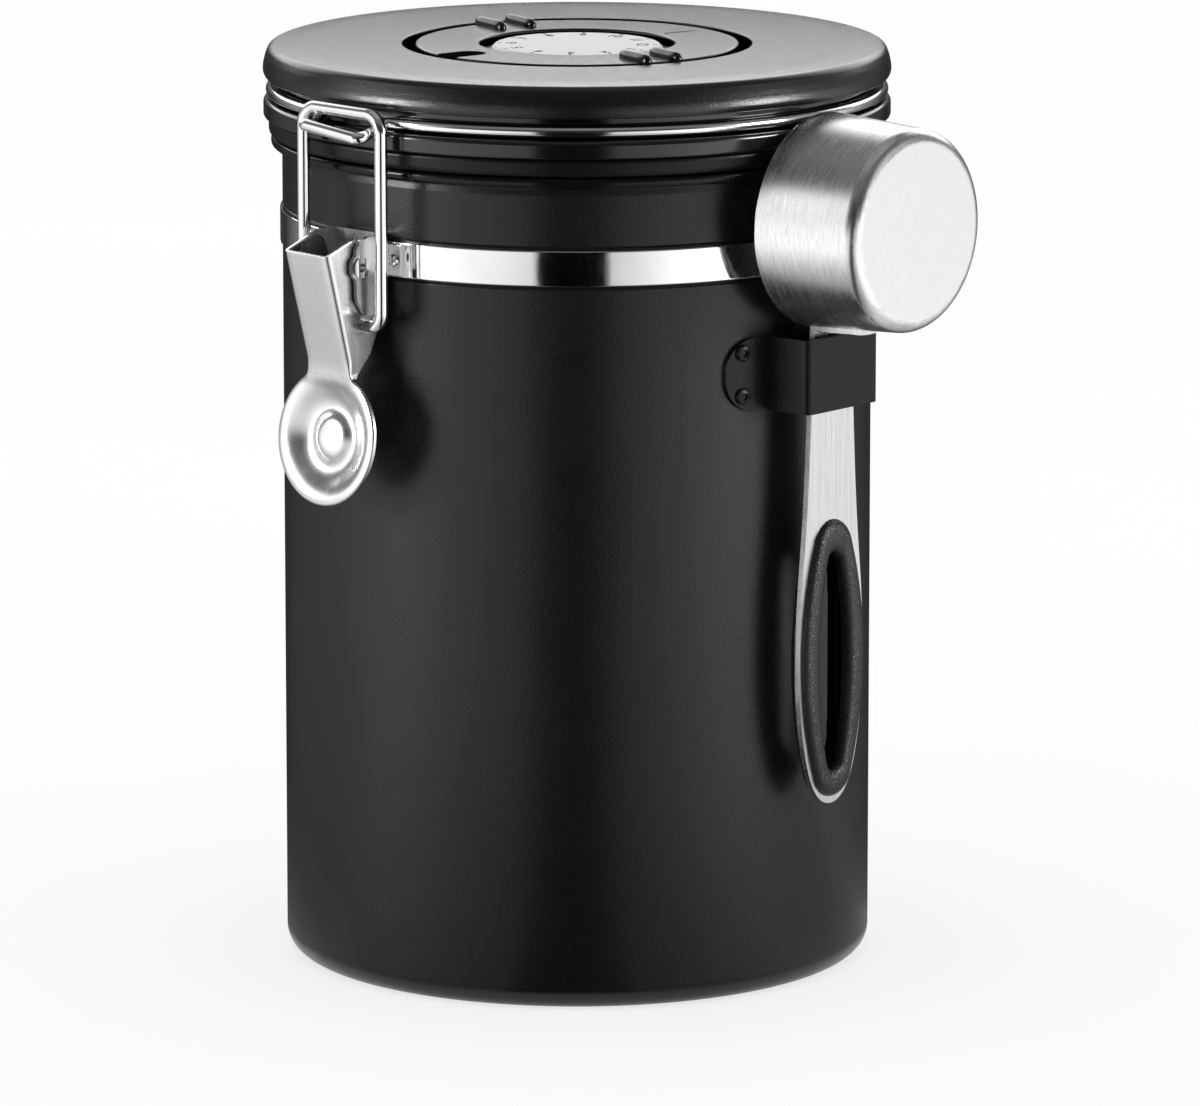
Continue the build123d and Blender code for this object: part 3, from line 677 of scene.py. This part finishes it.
tick = bmesh.new()
for k in range(12):
    # plain numbers 1 to 12 round the dial, heads outwards, with a short mark outside each
    turn = Matrix.Rotation(math.radians(10 - 30 * k), 4, "Z")
    box_bm(tick, (15.1, -0.22, 184.14), (16.1, 0.22, 184.165), matrix=turn)
    add_number(tick, k + 1, 3.3, 0.06, turn @ Matrix.Translation((13.1, 0, 184.152)))
finish_mesh("dial_ticks", tick, "month_wheel", PRINT_DARK)

# plain day numbers 1 to 31 on the fixed disc, seen through the ring's window
days = bmesh.new()
for k in range(31):
    turn = Matrix.Rotation(math.radians(261.9 - 360.0 / 31 * k), 4, "Z")
    add_number(days, k + 1, 3.8, 0.05, turn @ Matrix.Translation((28.4, 0, 180.832)))
finish_mesh("day_numbers", days, "lid", PRINT_WHITE)

# ------------------------------------------------------------------ wires
RR, RZ = 61.0, 175.5
a1 = math.asin(13.4 / RR)
A = Vector((13.4, -RR * math.cos(a1), RZ))
T = Vector((-math.cos(a1), -math.sin(a1), 0))
B = A + T * 5.0
hook = path_round([(*A,), (*B, 1.5), (7.7, -65.4, 173.6, 1.2), (7.9, -68.0, 172.9, 1.25), (-7.9, -68.0, 174.35, 1.25), (-7.7, -65.4, 173.75, 1.2), (-B.x, B.y, RZ, 1.5), (-A.x, A.y, RZ)])
a2 = math.asin(16.0 / RR)
C = Vector((16.0, RR * math.cos(a2), RZ))
U = Vector((-math.cos(a2), math.sin(a2), 0))
D = C + U * 5.6
back = path_round([(-C.x, C.y, RZ), (-D.x, D.y, RZ, 1.4), (-9.8, 66.5, RZ, 1.6), (9.8, 66.5, RZ, 1.6), (*D, 1.4), (*C,)])


def ring_arc(p, q, n):
    """Points along the ring between two angles, ends left out."""
    return [Vector((RR * math.cos(p + (q - p) * k / n), RR * math.sin(p + (q - p) * k / n), RZ)) for k in range(1, n)]


wa = math.atan2(A.y, -A.x)
wc = math.atan2(C.y, -C.x)
left = ring_arc(wa, wc - 2 * math.pi if wc > wa else wc, 120)
wc2 = math.atan2(C.y, C.x)
wa2 = math.atan2(A.y, A.x)
right = ring_arc(wc2, wa2, 120)
ring_path = hook + left + back + right
finish_mesh("lid_wire", tube_bm(ring_path, 1.2, 24, closed=True), "lid", WIRE_STEEL, "lid_ring_wire")

loop_path = path_round([
    (4.9, -64.8, 135.6), (10.9, -64.8, 135.6, 3.2), (10.9, -64.8, 177.4, 3.6),
    (-10.9, -64.8, 177.4, 3.6), (-10.9, -64.8, 135.6, 3.2), (-4.9, -64.8, 135.6),
], deg=5.0)
finish_mesh("latch_loop", tube_bm(loop_path, 1.3, 28), "loop", WIRE_STEEL, "tension_loop")

# ------------------------------------------------------------------ latch lever


def polyline_at(pts, n):
    """n + 1 points at even distances along a 2-D polyline."""
    vs = [Vector(p) for p in pts]
    cum = [0.0]
    for p, q in zip(vs, vs[1:]):
        cum.append(cum[-1] + (q - p).length)
    out, j = [], 0
    for k in range(n + 1):
        d = cum[-1] * k / n
        while j < len(cum) - 2 and cum[j + 1] < d:
            j += 1
        f = (d - cum[j]) / max(cum[j + 1] - cum[j], 1e-9)
        out.append(vs[j].lerp(vs[j + 1], min(max(f, 0), 1)))
    return out


TILT = math.radians(8.0)


def smax(x, y, k=1.6):
    return max(x, y) + max(k - abs(x - y), 0.0) ** 2 / (4 * k)


def ease(x, lo, hi):
    f = min(max((x - lo) / (hi - lo), 0.0), 1.0)
    return f * f * (3 - 2 * f)


def web_height(b):
    """Front of the web above the dish's plane, b up along that plane."""
    return 0.793 + 0.418 * (b - 12.108)


NU, NV = 56, 22
web_line = []
for p in polyline_at([(68.5, 125.5), (75.0, 150.3)], NU):
    b_ = (p.y - 113.4) * math.cos(TILT) - (p.x - 69.4) * math.sin(TILT)
    lift = smax(0.5, web_height(b_)) - max(0.5, web_height(b_))
    web_line.append(Vector((p.x + lift, p.y)))
back_line = polyline_at(filleted([(67.2, 125.5), (63.0, 130.0, 2.4), (61.1, 134.6, 2.4), (61.5, 141.5, 3.0), (64.6, 151.6)], closed=False, support=False), NU)
top_line = polyline_at(filleted([(75.0, 150.3), (66.9, 153.3, 1.6), (64.6, 151.6)], closed=False, support=False), NV)


def neck_half(z):
    """Half width of the pressing from the dish's shoulder up to the web."""
    b = (z - 113.4) / math.cos(TILT)
    if b >= 13.28:
        return 6.0
    return 8.0 - math.sqrt(max(4.0 - (13.28 - b) ** 2, 0.0))


def patch(u, v):
    """Side of the channel in (rho, z): u up, v from the web to the back."""
    i = u * NU
    i0 = min(int(i), NU - 1)
    W = web_line[i0].lerp(web_line[i0 + 1], i - i0)
    K = back_line[i0].lerp(back_line[i0 + 1], i - i0)
    j = v * NV
    j0 = min(int(j), NV - 1)
    top = top_line[j0].lerp(top_line[j0 + 1], j - j0)
    return W.lerp(K, v) + (top - web_line[-1].lerp(back_line[-1], v)) * u ** 3


lever_bm = bmesh.new()
grid = []
for iu in range(NU + 1):
    u = iu / NU
    W, K = patch(u, 0), patch(u, 1)
    depth = max((K - W).length, 0.01)
    half = neck_half(W.y) + 0.1 * min(1.0, max(0.0, (W.y - 127.0) / 16.0))
    rc = min(0.4 + 0.75 * ease(u, 0.0, 0.16), depth * 0.6)
    row = []
    side_v = [rc / depth + (1 - rc / depth) * (k / NV) for k in range(NV + 1)]
    for v in reversed(side_v):
        p = patch(u, v)
        row.append((-half, p))
    for k in range(5, 0, -1):
        w = math.pi / 2 * k / 6
        row.append((-(half - rc + rc * math.sin(w)), patch(u, rc * (1 - math.cos(w)) / depth)))
    for k in range(9):
        row.append((-(half - rc) + 2 * (half - rc) * k / 8, W))
    for k in range(1, 6):
        w = math.pi / 2 * k / 6
        row.append((half - rc + rc * math.sin(w), patch(u, rc * (1 - math.cos(w)) / depth)))
    for v in side_v:
        p = patch(u, v)
        row.append((half, p))
    grid.append([lever_bm.verts.new((t, -p.x, p.y)) for t, p in row])
for a, b in zip(grid, grid[1:]):
    for k in range(len(a) - 1):
        lever_bm.faces.new((a[k], a[k + 1], b[k + 1], b[k]))
bmesh.ops.recalc_face_normals(lever_bm, faces=lever_bm.faces)
mid = grid[NU // 2][len(grid[0]) // 2]
if sum((f.normal.y for f in mid.link_faces)) > 0:
    bmesh.ops.reverse_faces(lever_bm, faces=lever_bm.faces)
sheet_me = bpy.data.meshes.new("lever_sheet")
sheet_me.materials.append(LEVER_STEEL)
sheet_me.materials.append(LEVER_INSIDE_SHADE)
bmesh.ops.scale(lever_bm, vec=(MM, MM, MM), verts=lever_bm.verts)
lever_bm.to_mesh(sheet_me)
lever_bm.free()
sheet_ob = bpy.data.objects.new("lever_sheet", sheet_me)
bpy.context.scene.collection.objects.link(sheet_ob)
sol = sheet_ob.modifiers.new("solid", "SOLIDIFY")
sol.thickness = 0.0008
sol.offset = -1.0
# the inner shell takes the second slot, the darkened steel painted as shade inside the channel
sol.material_offset = 1
bev = sheet_ob.modifiers.new("edge", "BEVEL")
bev.width = 0.00018
bev.segments = 2
bev.limit_method = "ANGLE"
bev.angle_limit = math.radians(50)
bpy.context.view_layer.update()
channel_me = bpy.data.meshes.new_from_object(sheet_ob.evaluated_get(bpy.context.evaluated_depsgraph_get()))
bpy.data.objects.remove(sheet_ob)
lev = bmesh.new()
lev.from_mesh(channel_me)
bmesh.ops.scale(lev, vec=(1000, 1000, 1000), verts=lev.verts)
# thumb dish and neck: one plate drawn over the dish's plane
TOP_Z = 127.2


def inside(r, phi):
    if r <= 13.5:
        return True
    z = 113.4 + r * math.cos(phi) * math.cos(TILT)
    if z > TOP_Z or r * math.cos(phi) < 11.566:
        return False
    return abs(r * math.sin(phi)) <= neck_half(z) - 1.2 * ease(z, 125.6, 126.1)


def plate_edge(phi):
    if math.cos(phi) < 0.75:
        return 13.5
    r = 16.0
    while r > 13.5 and not inside(r, phi):
        r -= 0.01
    return r


DISH = [(0.0, -0.64), (1.6, -0.65), (3.0, -0.72), (3.9, -1.0), (4.7, -1.55), (5.4, -1.9), (6.1, -2.0), (7.0, -1.84), (8.0, -1.4), (9.0, -0.8), (10.0, -0.2),
        (10.9, 0.22), (11.6, 0.42), (12.2, 0.5), (12.9, 0.44), (13.5, 0.36), (17.0, 0.36)]


def dish_height(r):
    for i in range(len(DISH) - 1):
        if DISH[i][0] <= r <= DISH[i + 1][0]:
            (x0, y0), (x1, y1) = DISH[i], DISH[i + 1]
            m0 = (y1 - DISH[max(i - 1, 0)][1]) / (x1 - DISH[max(i - 1, 0)][0])
            m1 = (DISH[min(i + 2, len(DISH) - 1)][1] - y0) / (DISH[min(i + 2, len(DISH) - 1)][0] - x0)
            h = x1 - x0
            f = (r - x0) / h
            return ((2 * f ** 3 - 3 * f ** 2 + 1) * y0 + (f ** 3 - 2 * f ** 2 + f) * h * m0 + (-2 * f ** 3 + 3 * f ** 2) * y1 + (f ** 3 - f ** 2) * h * m1)
    return 0.36


def plate_height(a, b, r, edge):
    dish = dish_height(r)
    in_neck = ease(b, 9.0, 11.5) * (1 - ease(abs(a), 5.8, 8.2))
    flat = dish + (max(dish, 0.5) - dish) * in_neck * ease(r, 11.8, 12.4)
    h = flat + in_neck * (smax(flat, web_height(b)) - flat)
    if b > 12.2:
        h += 0.02 - 0.12 * ease(b, 12.5, 13.9)
    gap = edge - r
    if gap < 0.4 and b < 12.9:
        h -= 0.4 - math.sqrt(max(0.16 - (0.4 - gap) ** 2, 0.0))
    return h


NP = 288
edges = [plate_edge(2 * math.pi * k / NP if k <= NP // 2 else 2 * math.pi * (NP - k) / NP) for k in range(NP)]
radii = [0.35 * i for i in range(1, 35)]
plate = bmesh.new()
front_c = plate.verts.new((0, 0, dish_height(0)))
back_c = plate.verts.new((0, 0, dish_height(0) - 0.8))
front_rows, back_rows = [], []
outer_steps = [0.3, 0.55, 0.72, 0.8, 0.86, 0.91, 0.95, 0.98, 1.0]
for r0 in radii + outer_steps:
    rim = r0 in outer_steps and len(front_rows) >= len(radii)
    fr, br = [], []
    for k in range(NP):
        phi = 2 * math.pi * k / NP
        r = radii[-1] + (edges[k] - radii[-1]) * r0 if rim else r0
        a_, b_ = r * math.sin(phi), r * math.cos(phi)
        h = plate_height(a_, b_, r, edges[k])
        fr.append(plate.verts.new((a_, b_, h)))
        br.append(plate.verts.new((a_, b_, plate_height(a_, b_, r, 99.0) - 0.8)))
    front_rows.append(fr)
    back_rows.append(br)
for rows_, centre_, flip in ((front_rows, front_c, False), (back_rows, back_c, True)):
    for k in range(NP):
        k2 = (k + 1) % NP
        plate.faces.new((centre_, rows_[0][k], rows_[0][k2]))
        for p, q in zip(rows_, rows_[1:]):
            plate.faces.new((p[k], p[k2], q[k2], q[k]))
for k in range(NP):
    k2 = (k + 1) % NP
    plate.faces.new((front_rows[-1][k], front_rows[-1][k2], back_rows[-1][k2], back_rows[-1][k]))
ZD = Vector((0, -math.cos(TILT), math.sin(TILT)))
XD = Vector((1, 0, 0))
YD = ZD.cross(XD)
DM = Matrix(((XD.x, YD.x, ZD.x, 0), (XD.y, YD.y, ZD.y, -69.4), (XD.z, YD.z, ZD.z, 113.4), (0, 0, 0, 1)))
bmesh.ops.transform(plate, matrix=DM, verts=plate.verts)
bmesh.ops.recalc_face_normals(plate, faces=plate.faces)
add_bm(lev, plate)
finish_mesh("lever_press", lev, "lever", [LEVER_STEEL, LEVER_INSIDE_SHADE], "latch_lever", sharp=35)

# ------------------------------------------------------------------ scoop
SC = Matrix.Rotation(math.radians(94.0), 4, "Z")
CUPM = SC @ Matrix(((1, 0, 0, 0), (0, 0, -1, 0), (0, 1, 0, 155.4), (0, 0, 0, 1)))
cup_profile = filleted([
    (20.36, 63.7, 0.3), (21.16, 63.7, 0.3), (19.88, 87.93, 2.8), (0, 87.93), (0, 87.13), (19.08, 87.13, 2.1),
], deg=6.0)


def cup_part(p, q):
    r, h = (p[0] + q[0]) / 2, (p[1] + q[1]) / 2
    if r < 17.6 and h > 87.5:
        return 1
    return 0


finish_mesh("scoop_bowl", lathe_bm(cup_profile, 256, cup_part), "scoop", [CUP_SIDE, CUP_END], "scoop_cup", matrix=CUPM)

# rubber grip: rounded ring section swept round the oval


def oval_points(half, z0, z1, end_r, n):
    """n points round the four-arc oval, at even angles about its middle."""
    zc, h = (z0 + z1) / 2, (z1 - z0) / 2
    big = (half ** 2 + (h - end_r) ** 2 - end_r ** 2) / (2 * (half - end_r))
    ux, uz = (big - half) / (big - end_r), (h - end_r) / (big - end_r)
    lim = math.atan2(uz, ux)
    out = []
    for k in range(n):
        w = 2 * math.pi * k / n
        c, s = math.cos(w), math.sin(w)
        ph = math.atan2(abs(s), abs(c))
        # spread evenly: first half of the quarter on the long arc, the rest on the end arc
        f = ph / (math.pi / 2)
        if f < 0.6:
            g = lim * f / 0.6
            x, z = big * math.cos(g) - (big - half), big * math.sin(g)
        else:
            g = lim + (math.pi / 2 - lim) * (f - 0.6) / 0.4
            x, z = end_r * math.cos(g), (h - end_r) + end_r * math.sin(g)
        out.append((math.copysign(x, c), zc + math.copysign(z, s)))
    return out


def grip_bm():
    n, m = 160, 28
    outer = oval_points(9.35, 40.0, 96.0, 5.4, n)
    inner = oval_points(4.4, 45.9, 89.2, 2.1, n)
    bm = bmesh.new()
    rings = []
    for (ox, oz), (ix, iz) in zip(outer, inner):
        cx_, cz_ = (ox + ix) / 2, (oz + iz) / 2
        hx, hz = (ox - ix) / 2, (oz - iz) / 2
        ring = []
        for k in range(m):
            a = 2 * math.pi * k / m
            c, s = math.cos(a), math.sin(a)
            e = 0.62
            w = math.copysign(abs(c) ** e, c)
            t = math.copysign(abs(s) ** 0.8, s)
            if w < 0:
                w *= 1 + 2.2 * max(0.0, -t)
            rho = 65.6 + t * (2.3 if t > 0 else 2.7)
            gx, gz = cx_ + hx * w, cz_ + hz * w
            if w < -1:
                # the slot's wall slants inwards towards the back, down to 5.6 mm between the walls
                g = min(-w - 1, 1.0)
                gx = math.copysign(max(abs(ix) * (1 - 0.55 * g), min(abs(ix), 2.8)), ix)
                gz = 67.55 + (iz - 67.55) * (1 - 0.08 * g)
            ring.append(bm.verts.new((gx, -rho, gz)))
        rings.append(ring)
    for i in range(n):
        a, b = rings[i], rings[(i + 1) % n]
        for k in range(m):
            f = bm.faces.new((a[k], a[(k + 1) % m], b[(k + 1) % m], b[k]))
            # faces turned into the slot get the near-black rubber, painted shade inside the slot
            if m * 0.47 <= k < m * 0.75:
                f.material_index = 1
    return bm


finish_mesh("handle_grip", grip_bm(), "scoop", [GRIP_RUBBER, GRIP_SLOT_SHADE], "scoop_grip", matrix=SC)

# ------------------------------------------------------------------ stage
floor_bm = bmesh.new()
bmesh.ops.create_grid(floor_bm, x_segments=2, y_segments=2, size=5.0)
fme = bpy.data.meshes.new("floor")
floor_bm.to_mesh(fme)
floor_bm.free()
floor = bpy.data.objects.new("floor", fme)
bpy.context.scene.collection.objects.link(floor)
fl = Mat("floor_white")
fl.set(Specular_IOR_Level=0.0, Roughness=0.8, Emission_Strength=0.73)
fl.bsdf.inputs["Emission Color"].default_value = (1, 1, 1, 1)
fl.mix(fl.ramp(fl.noise(6.0, 3.0), 0.3, 0.7), (0.295, 0.295, 0.295), (0.305, 0.305, 0.305))
fme.materials.append(fl.m)


def area(name, loc, target, w, h, power, spread=180.0, color=(1, 1, 1)):
    d = bpy.data.lights.new(name, "AREA")
    d.shape = "RECTANGLE"
    d.size, d.size_y = w, h
    d.energy = power
    d.color = color
    d.spread = math.radians(spread)
    o = bpy.data.objects.new(name, d)
    bpy.context.scene.collection.objects.link(o)
    o.location = loc
    o.rotation_mode = "QUATERNION"
    o.rotation_quaternion = (target - loc).to_track_quat("-Z", "Y")
    return o


def polar(az_deg, dist, z):
    """az from the camera's direction, + to the camera's right."""
    a = math.radians(az_deg)
    return cam_place(dist * math.sin(a), -dist * math.cos(a), z)


MID = Vector((0, 0, 0.11))
# the tent alone lights the scoop's steel and the lid's flat tops, the key lamps light the rest
keyed = bpy.data.collections.new("keyed")
for ob in bpy.context.scene.objects:
    if ob.type == "MESH" and ob.name not in ("scoop_bowl", "scoop_handle", "lid_top", "date_wheel_ring"):
        keyed.objects.link(ob)
for lamp in (
    area("key_left", polar(-71, 1.25, 0.42), MID, 0.38, 0.38, 11.0),
    area("key_right", polar(71, 1.25, 0.42), MID, 0.38, 0.38, 11.0),
):
    lamp.visible_diffuse = False
    lamp.light_linking.receiver_collection = keyed
# two low lamps for the cover's rounded rim: they stand below its flat top, which never mirrors them
rims = bpy.data.collections.new("rims")
rims.objects.link(bpy.data.objects["lid_top"])
for lamp in (
    area("rim_left", polar(-71, 1.25, 0.095), MID, 0.38, 0.13, 7.5),
    area("rim_right", polar(71, 1.25, 0.095), MID, 0.38, 0.13, 7.5),
):
    lamp.visible_diffuse = False
    lamp.light_linking.receiver_collection = rims
area("top", Vector((0, 0, 1.6)), Vector((0, 0, 0)), 1.4, 1.4, 1.0)

world = bpy.data.worlds.new("studio")
bpy.context.scene.world = world
world.use_nodes = True
bg = world.node_tree.nodes["Background"]
bg.inputs[0].default_value = (1, 1, 1, 1)
bg.inputs[1].default_value = 0.85
world.cycles_visibility.glossy = False

# light tent round the object: only gloss sees it, the even world light does the rest
tent_bm = bmesh.new()
SEG, TENT_R = 96, 3.0
rings = []
for rad, z in [(0.0625, 0.0006), (0.2, 0.0006), (0.8, 0.0006), (TENT_R, 0.0006)] + [
    (TENT_R * math.cos(math.radians(e)), TENT_R * math.sin(math.radians(e))) for e in range(6, 90, 6)
]:
    rings.append([tent_bm.verts.new((rad * math.cos(2 * math.pi * k / SEG), rad * math.sin(2 * math.pi * k / SEG), z)) for k in range(SEG)])
pole = tent_bm.verts.new((0, 0, TENT_R))
for p, q in zip(rings, rings[1:]):
    for k in range(SEG):
        tent_bm.faces.new((p[k], p[(k + 1) % SEG], q[(k + 1) % SEG], q[k]))
for k in range(SEG):
    tent_bm.faces.new((rings[-1][k], rings[-1][(k + 1) % SEG], pole))
tent_me = bpy.data.meshes.new("light_tent")
tent_bm.to_mesh(tent_me)
tent_bm.free()
tent = bpy.data.objects.new("light_tent", tent_me)
bpy.context.scene.collection.objects.link(tent)
tent.visible_camera = False
tent.visible_diffuse = False
tent.visible_shadow = False

# brightness of the tent by the bearing from the canister, 0 towards the camera, + to its right
LOW = [(-180, 0.08), (-152, 0.03), (-124, 0.30), (-109, 0.55), (-94, 0.85), (-83, 1.15), (-72, 1.45), (-62, 1.55), (-52, 1.40), (-43, 1.22), (-34, 1.12),
       (-25, 1.00), (-16, 0.90), (-14.2, 0.0), (10.8, 0.0), (12.5, 0.72), (26, 1.00), (35, 1.22), (44, 1.55), (53, 1.80), (63, 1.80), (73, 1.50), (83, 1.25),
       (94, 1.15), (106, 1.10), (116, 0.55), (130, 0.26), (152, 0.03), (180, 0.08)]
HIGH = [(-180, 0.12), (-150, 0.12), (-135, 0.30), (-108, 0.20), (-98, 0.60), (-90, 1.50), (-74, 1.50), (-68, 0.80), (-62, 0.75), (-54, 0.40), (-46, 0.10), (-15, 0.03),
        (15, 0.03), (46, 0.10), (54, 0.40), (62, 0.75), (80, 0.75), (86, 0.50), (100, 0.30), (135, 0.30), (150, 0.12), (180, 0.12)]
CEILING = 0.16
tm = bpy.data.materials.new("tent_light")
tm.use_nodes = True
tt = tm.node_tree
tt.nodes.clear()


def tnode(kind, **kw):
    n = tt.nodes.new(kind)
    for k, v in kw.items():
        setattr(n, k, v)
    return n


def tmath(op, *args):
    n = tnode("ShaderNodeMath", operation=op)
    for i, x in enumerate(args):
        if isinstance(x, (int, float)):
            n.inputs[i].default_value = x
        else:
            tt.links.new(x, n.inputs[i])
    return n.outputs[0]


def tramp(stops, fac):
    n = tnode("ShaderNodeValToRGB")
    cr = n.color_ramp
    cr.interpolation = "LINEAR"
    pts = [((a + 180.0) / 360.0, v / 2.0) for a, v in stops]
    cr.elements[0].position, cr.elements[1].position = pts[0][0], pts[-1][0]
    for p, v in pts[1:-1]:
        cr.elements.new(p)
    for e, (p, v) in zip(cr.elements, pts):
        e.position = p
        e.color = (v, v, v, 1)
    tt.links.new(fac, n.inputs[0])
    return tmath("MULTIPLY", n.outputs[0], 2.0)


def tstep(x, lo, hi):
    n = tnode("ShaderNodeMapRange", interpolation_type="SMOOTHSTEP")
    n.inputs["From Min"].default_value = math.radians(lo)
    n.inputs["From Max"].default_value = math.radians(hi)
    tt.links.new(x, n.inputs["Value"])
    return n.outputs["Result"]


def tmix(f, p, q):
    return tmath("ADD", tmath("MULTIPLY", p, tmath("SUBTRACT", 1.0, f)), tmath("MULTIPLY", q, f))


sep = tnode("ShaderNodeSeparateXYZ")
tt.links.new(tnode("ShaderNodeTexCoord").outputs["Object"], sep.inputs[0])
px, py, pz = sep.outputs
rx = tmath("ADD", tmath("MULTIPLY", px, RIGHT.x), tmath("MULTIPLY", py, RIGHT.y))
ry = tmath("ADD", tmath("MULTIPLY", px, AWAY.x), tmath("MULTIPLY", py, AWAY.y))
bearing = tmath("ARCTAN2", rx, tmath("MULTIPLY", ry, -1.0))
fac = tmath("ADD", tmath("DIVIDE", bearing, 2 * math.pi), 0.5)
flat = tmath("SQRT", tmath("ADD", tmath("MULTIPLY", px, px), tmath("MULTIPLY", py, py)))
elev = tmath("ARCTAN2", tmath("SUBTRACT", pz, 0.12), flat)
level = tmix(tstep(elev, -2.0, 9.0), tramp(LOW, fac), tramp(HIGH, fac))
level = tmix(tstep(elev, 27.0, 38.0), level, tmath("ADD", CEILING, 0.0))
near = tnode("ShaderNodeMapRange", interpolation_type="SMOOTHSTEP")
near.inputs["From Min"].default_value, near.inputs["From Max"].default_value = 0.06, 0.45
near.inputs["To Min"].default_value, near.inputs["To Max"].default_value = 0.35, 1.0
tt.links.new(flat, near.inputs["Value"])
level = tmath("MULTIPLY", level, near.outputs["Result"])
em = tnode("ShaderNodeEmission")
tt.links.new(level, em.inputs["Strength"])
out = tnode("ShaderNodeOutputMaterial")
tt.links.new(em.outputs[0], out.inputs["Surface"])
tent_me.materials.append(tm)

# bounce card behind the lid, seen by gloss only: its lower edge shades the back of the lid's top
card_bm = bmesh.new()
cc = [cam_place(x, 0.26 - 0.12 * (x / 0.3) ** 2, z) for z in (0.236, 0.50) for x in (-0.3, -0.2, -0.1, 0.0, 0.1, 0.2, 0.3)]
cv = [card_bm.verts.new(c) for c in cc]
for k in range(6):
    card_bm.faces.new((cv[k], cv[k + 1], cv[k + 8], cv[k + 7]))
card_me = bpy.data.meshes.new("back_card")
card_bm.to_mesh(card_me)
card_bm.free()
card = bpy.data.objects.new("back_card", card_me)
bpy.context.scene.collection.objects.link(card)
card.visible_camera = False
card.visible_diffuse = False
card.visible_shadow = False
card_mat = bpy.data.materials.new("card_light")
card_mat.use_nodes = True
ct = card_mat.node_tree
ct.nodes.clear()
ce = ct.nodes.new("ShaderNodeEmission")
# full strength at the lower edge, fading towards the top
cs = ct.nodes.new("ShaderNodeSeparateXYZ")
ct.links.new(ct.nodes.new("ShaderNodeTexCoord").outputs["Object"], cs.inputs[0])
cf = ct.nodes.new("ShaderNodeMapRange")
cf.interpolation_type = "SMOOTHSTEP"
cf.inputs["From Min"].default_value, cf.inputs["From Max"].default_value = 0.29, 0.50
cf.inputs["To Min"].default_value, cf.inputs["To Max"].default_value = 2.8, 0.8
ct.links.new(cs.outputs["Z"], cf.inputs["Value"])
ct.links.new(cf.outputs["Result"], ce.inputs["Strength"])
ct.links.new(ce.outputs[0], ct.nodes.new("ShaderNodeOutputMaterial").inputs["Surface"])
card_me.materials.append(card_mat)

bpy.context.scene.view_settings.view_transform = "Standard"
bpy.context.scene.view_settings.look = "None"
bpy.context.scene.view_settings.exposure = 0.0
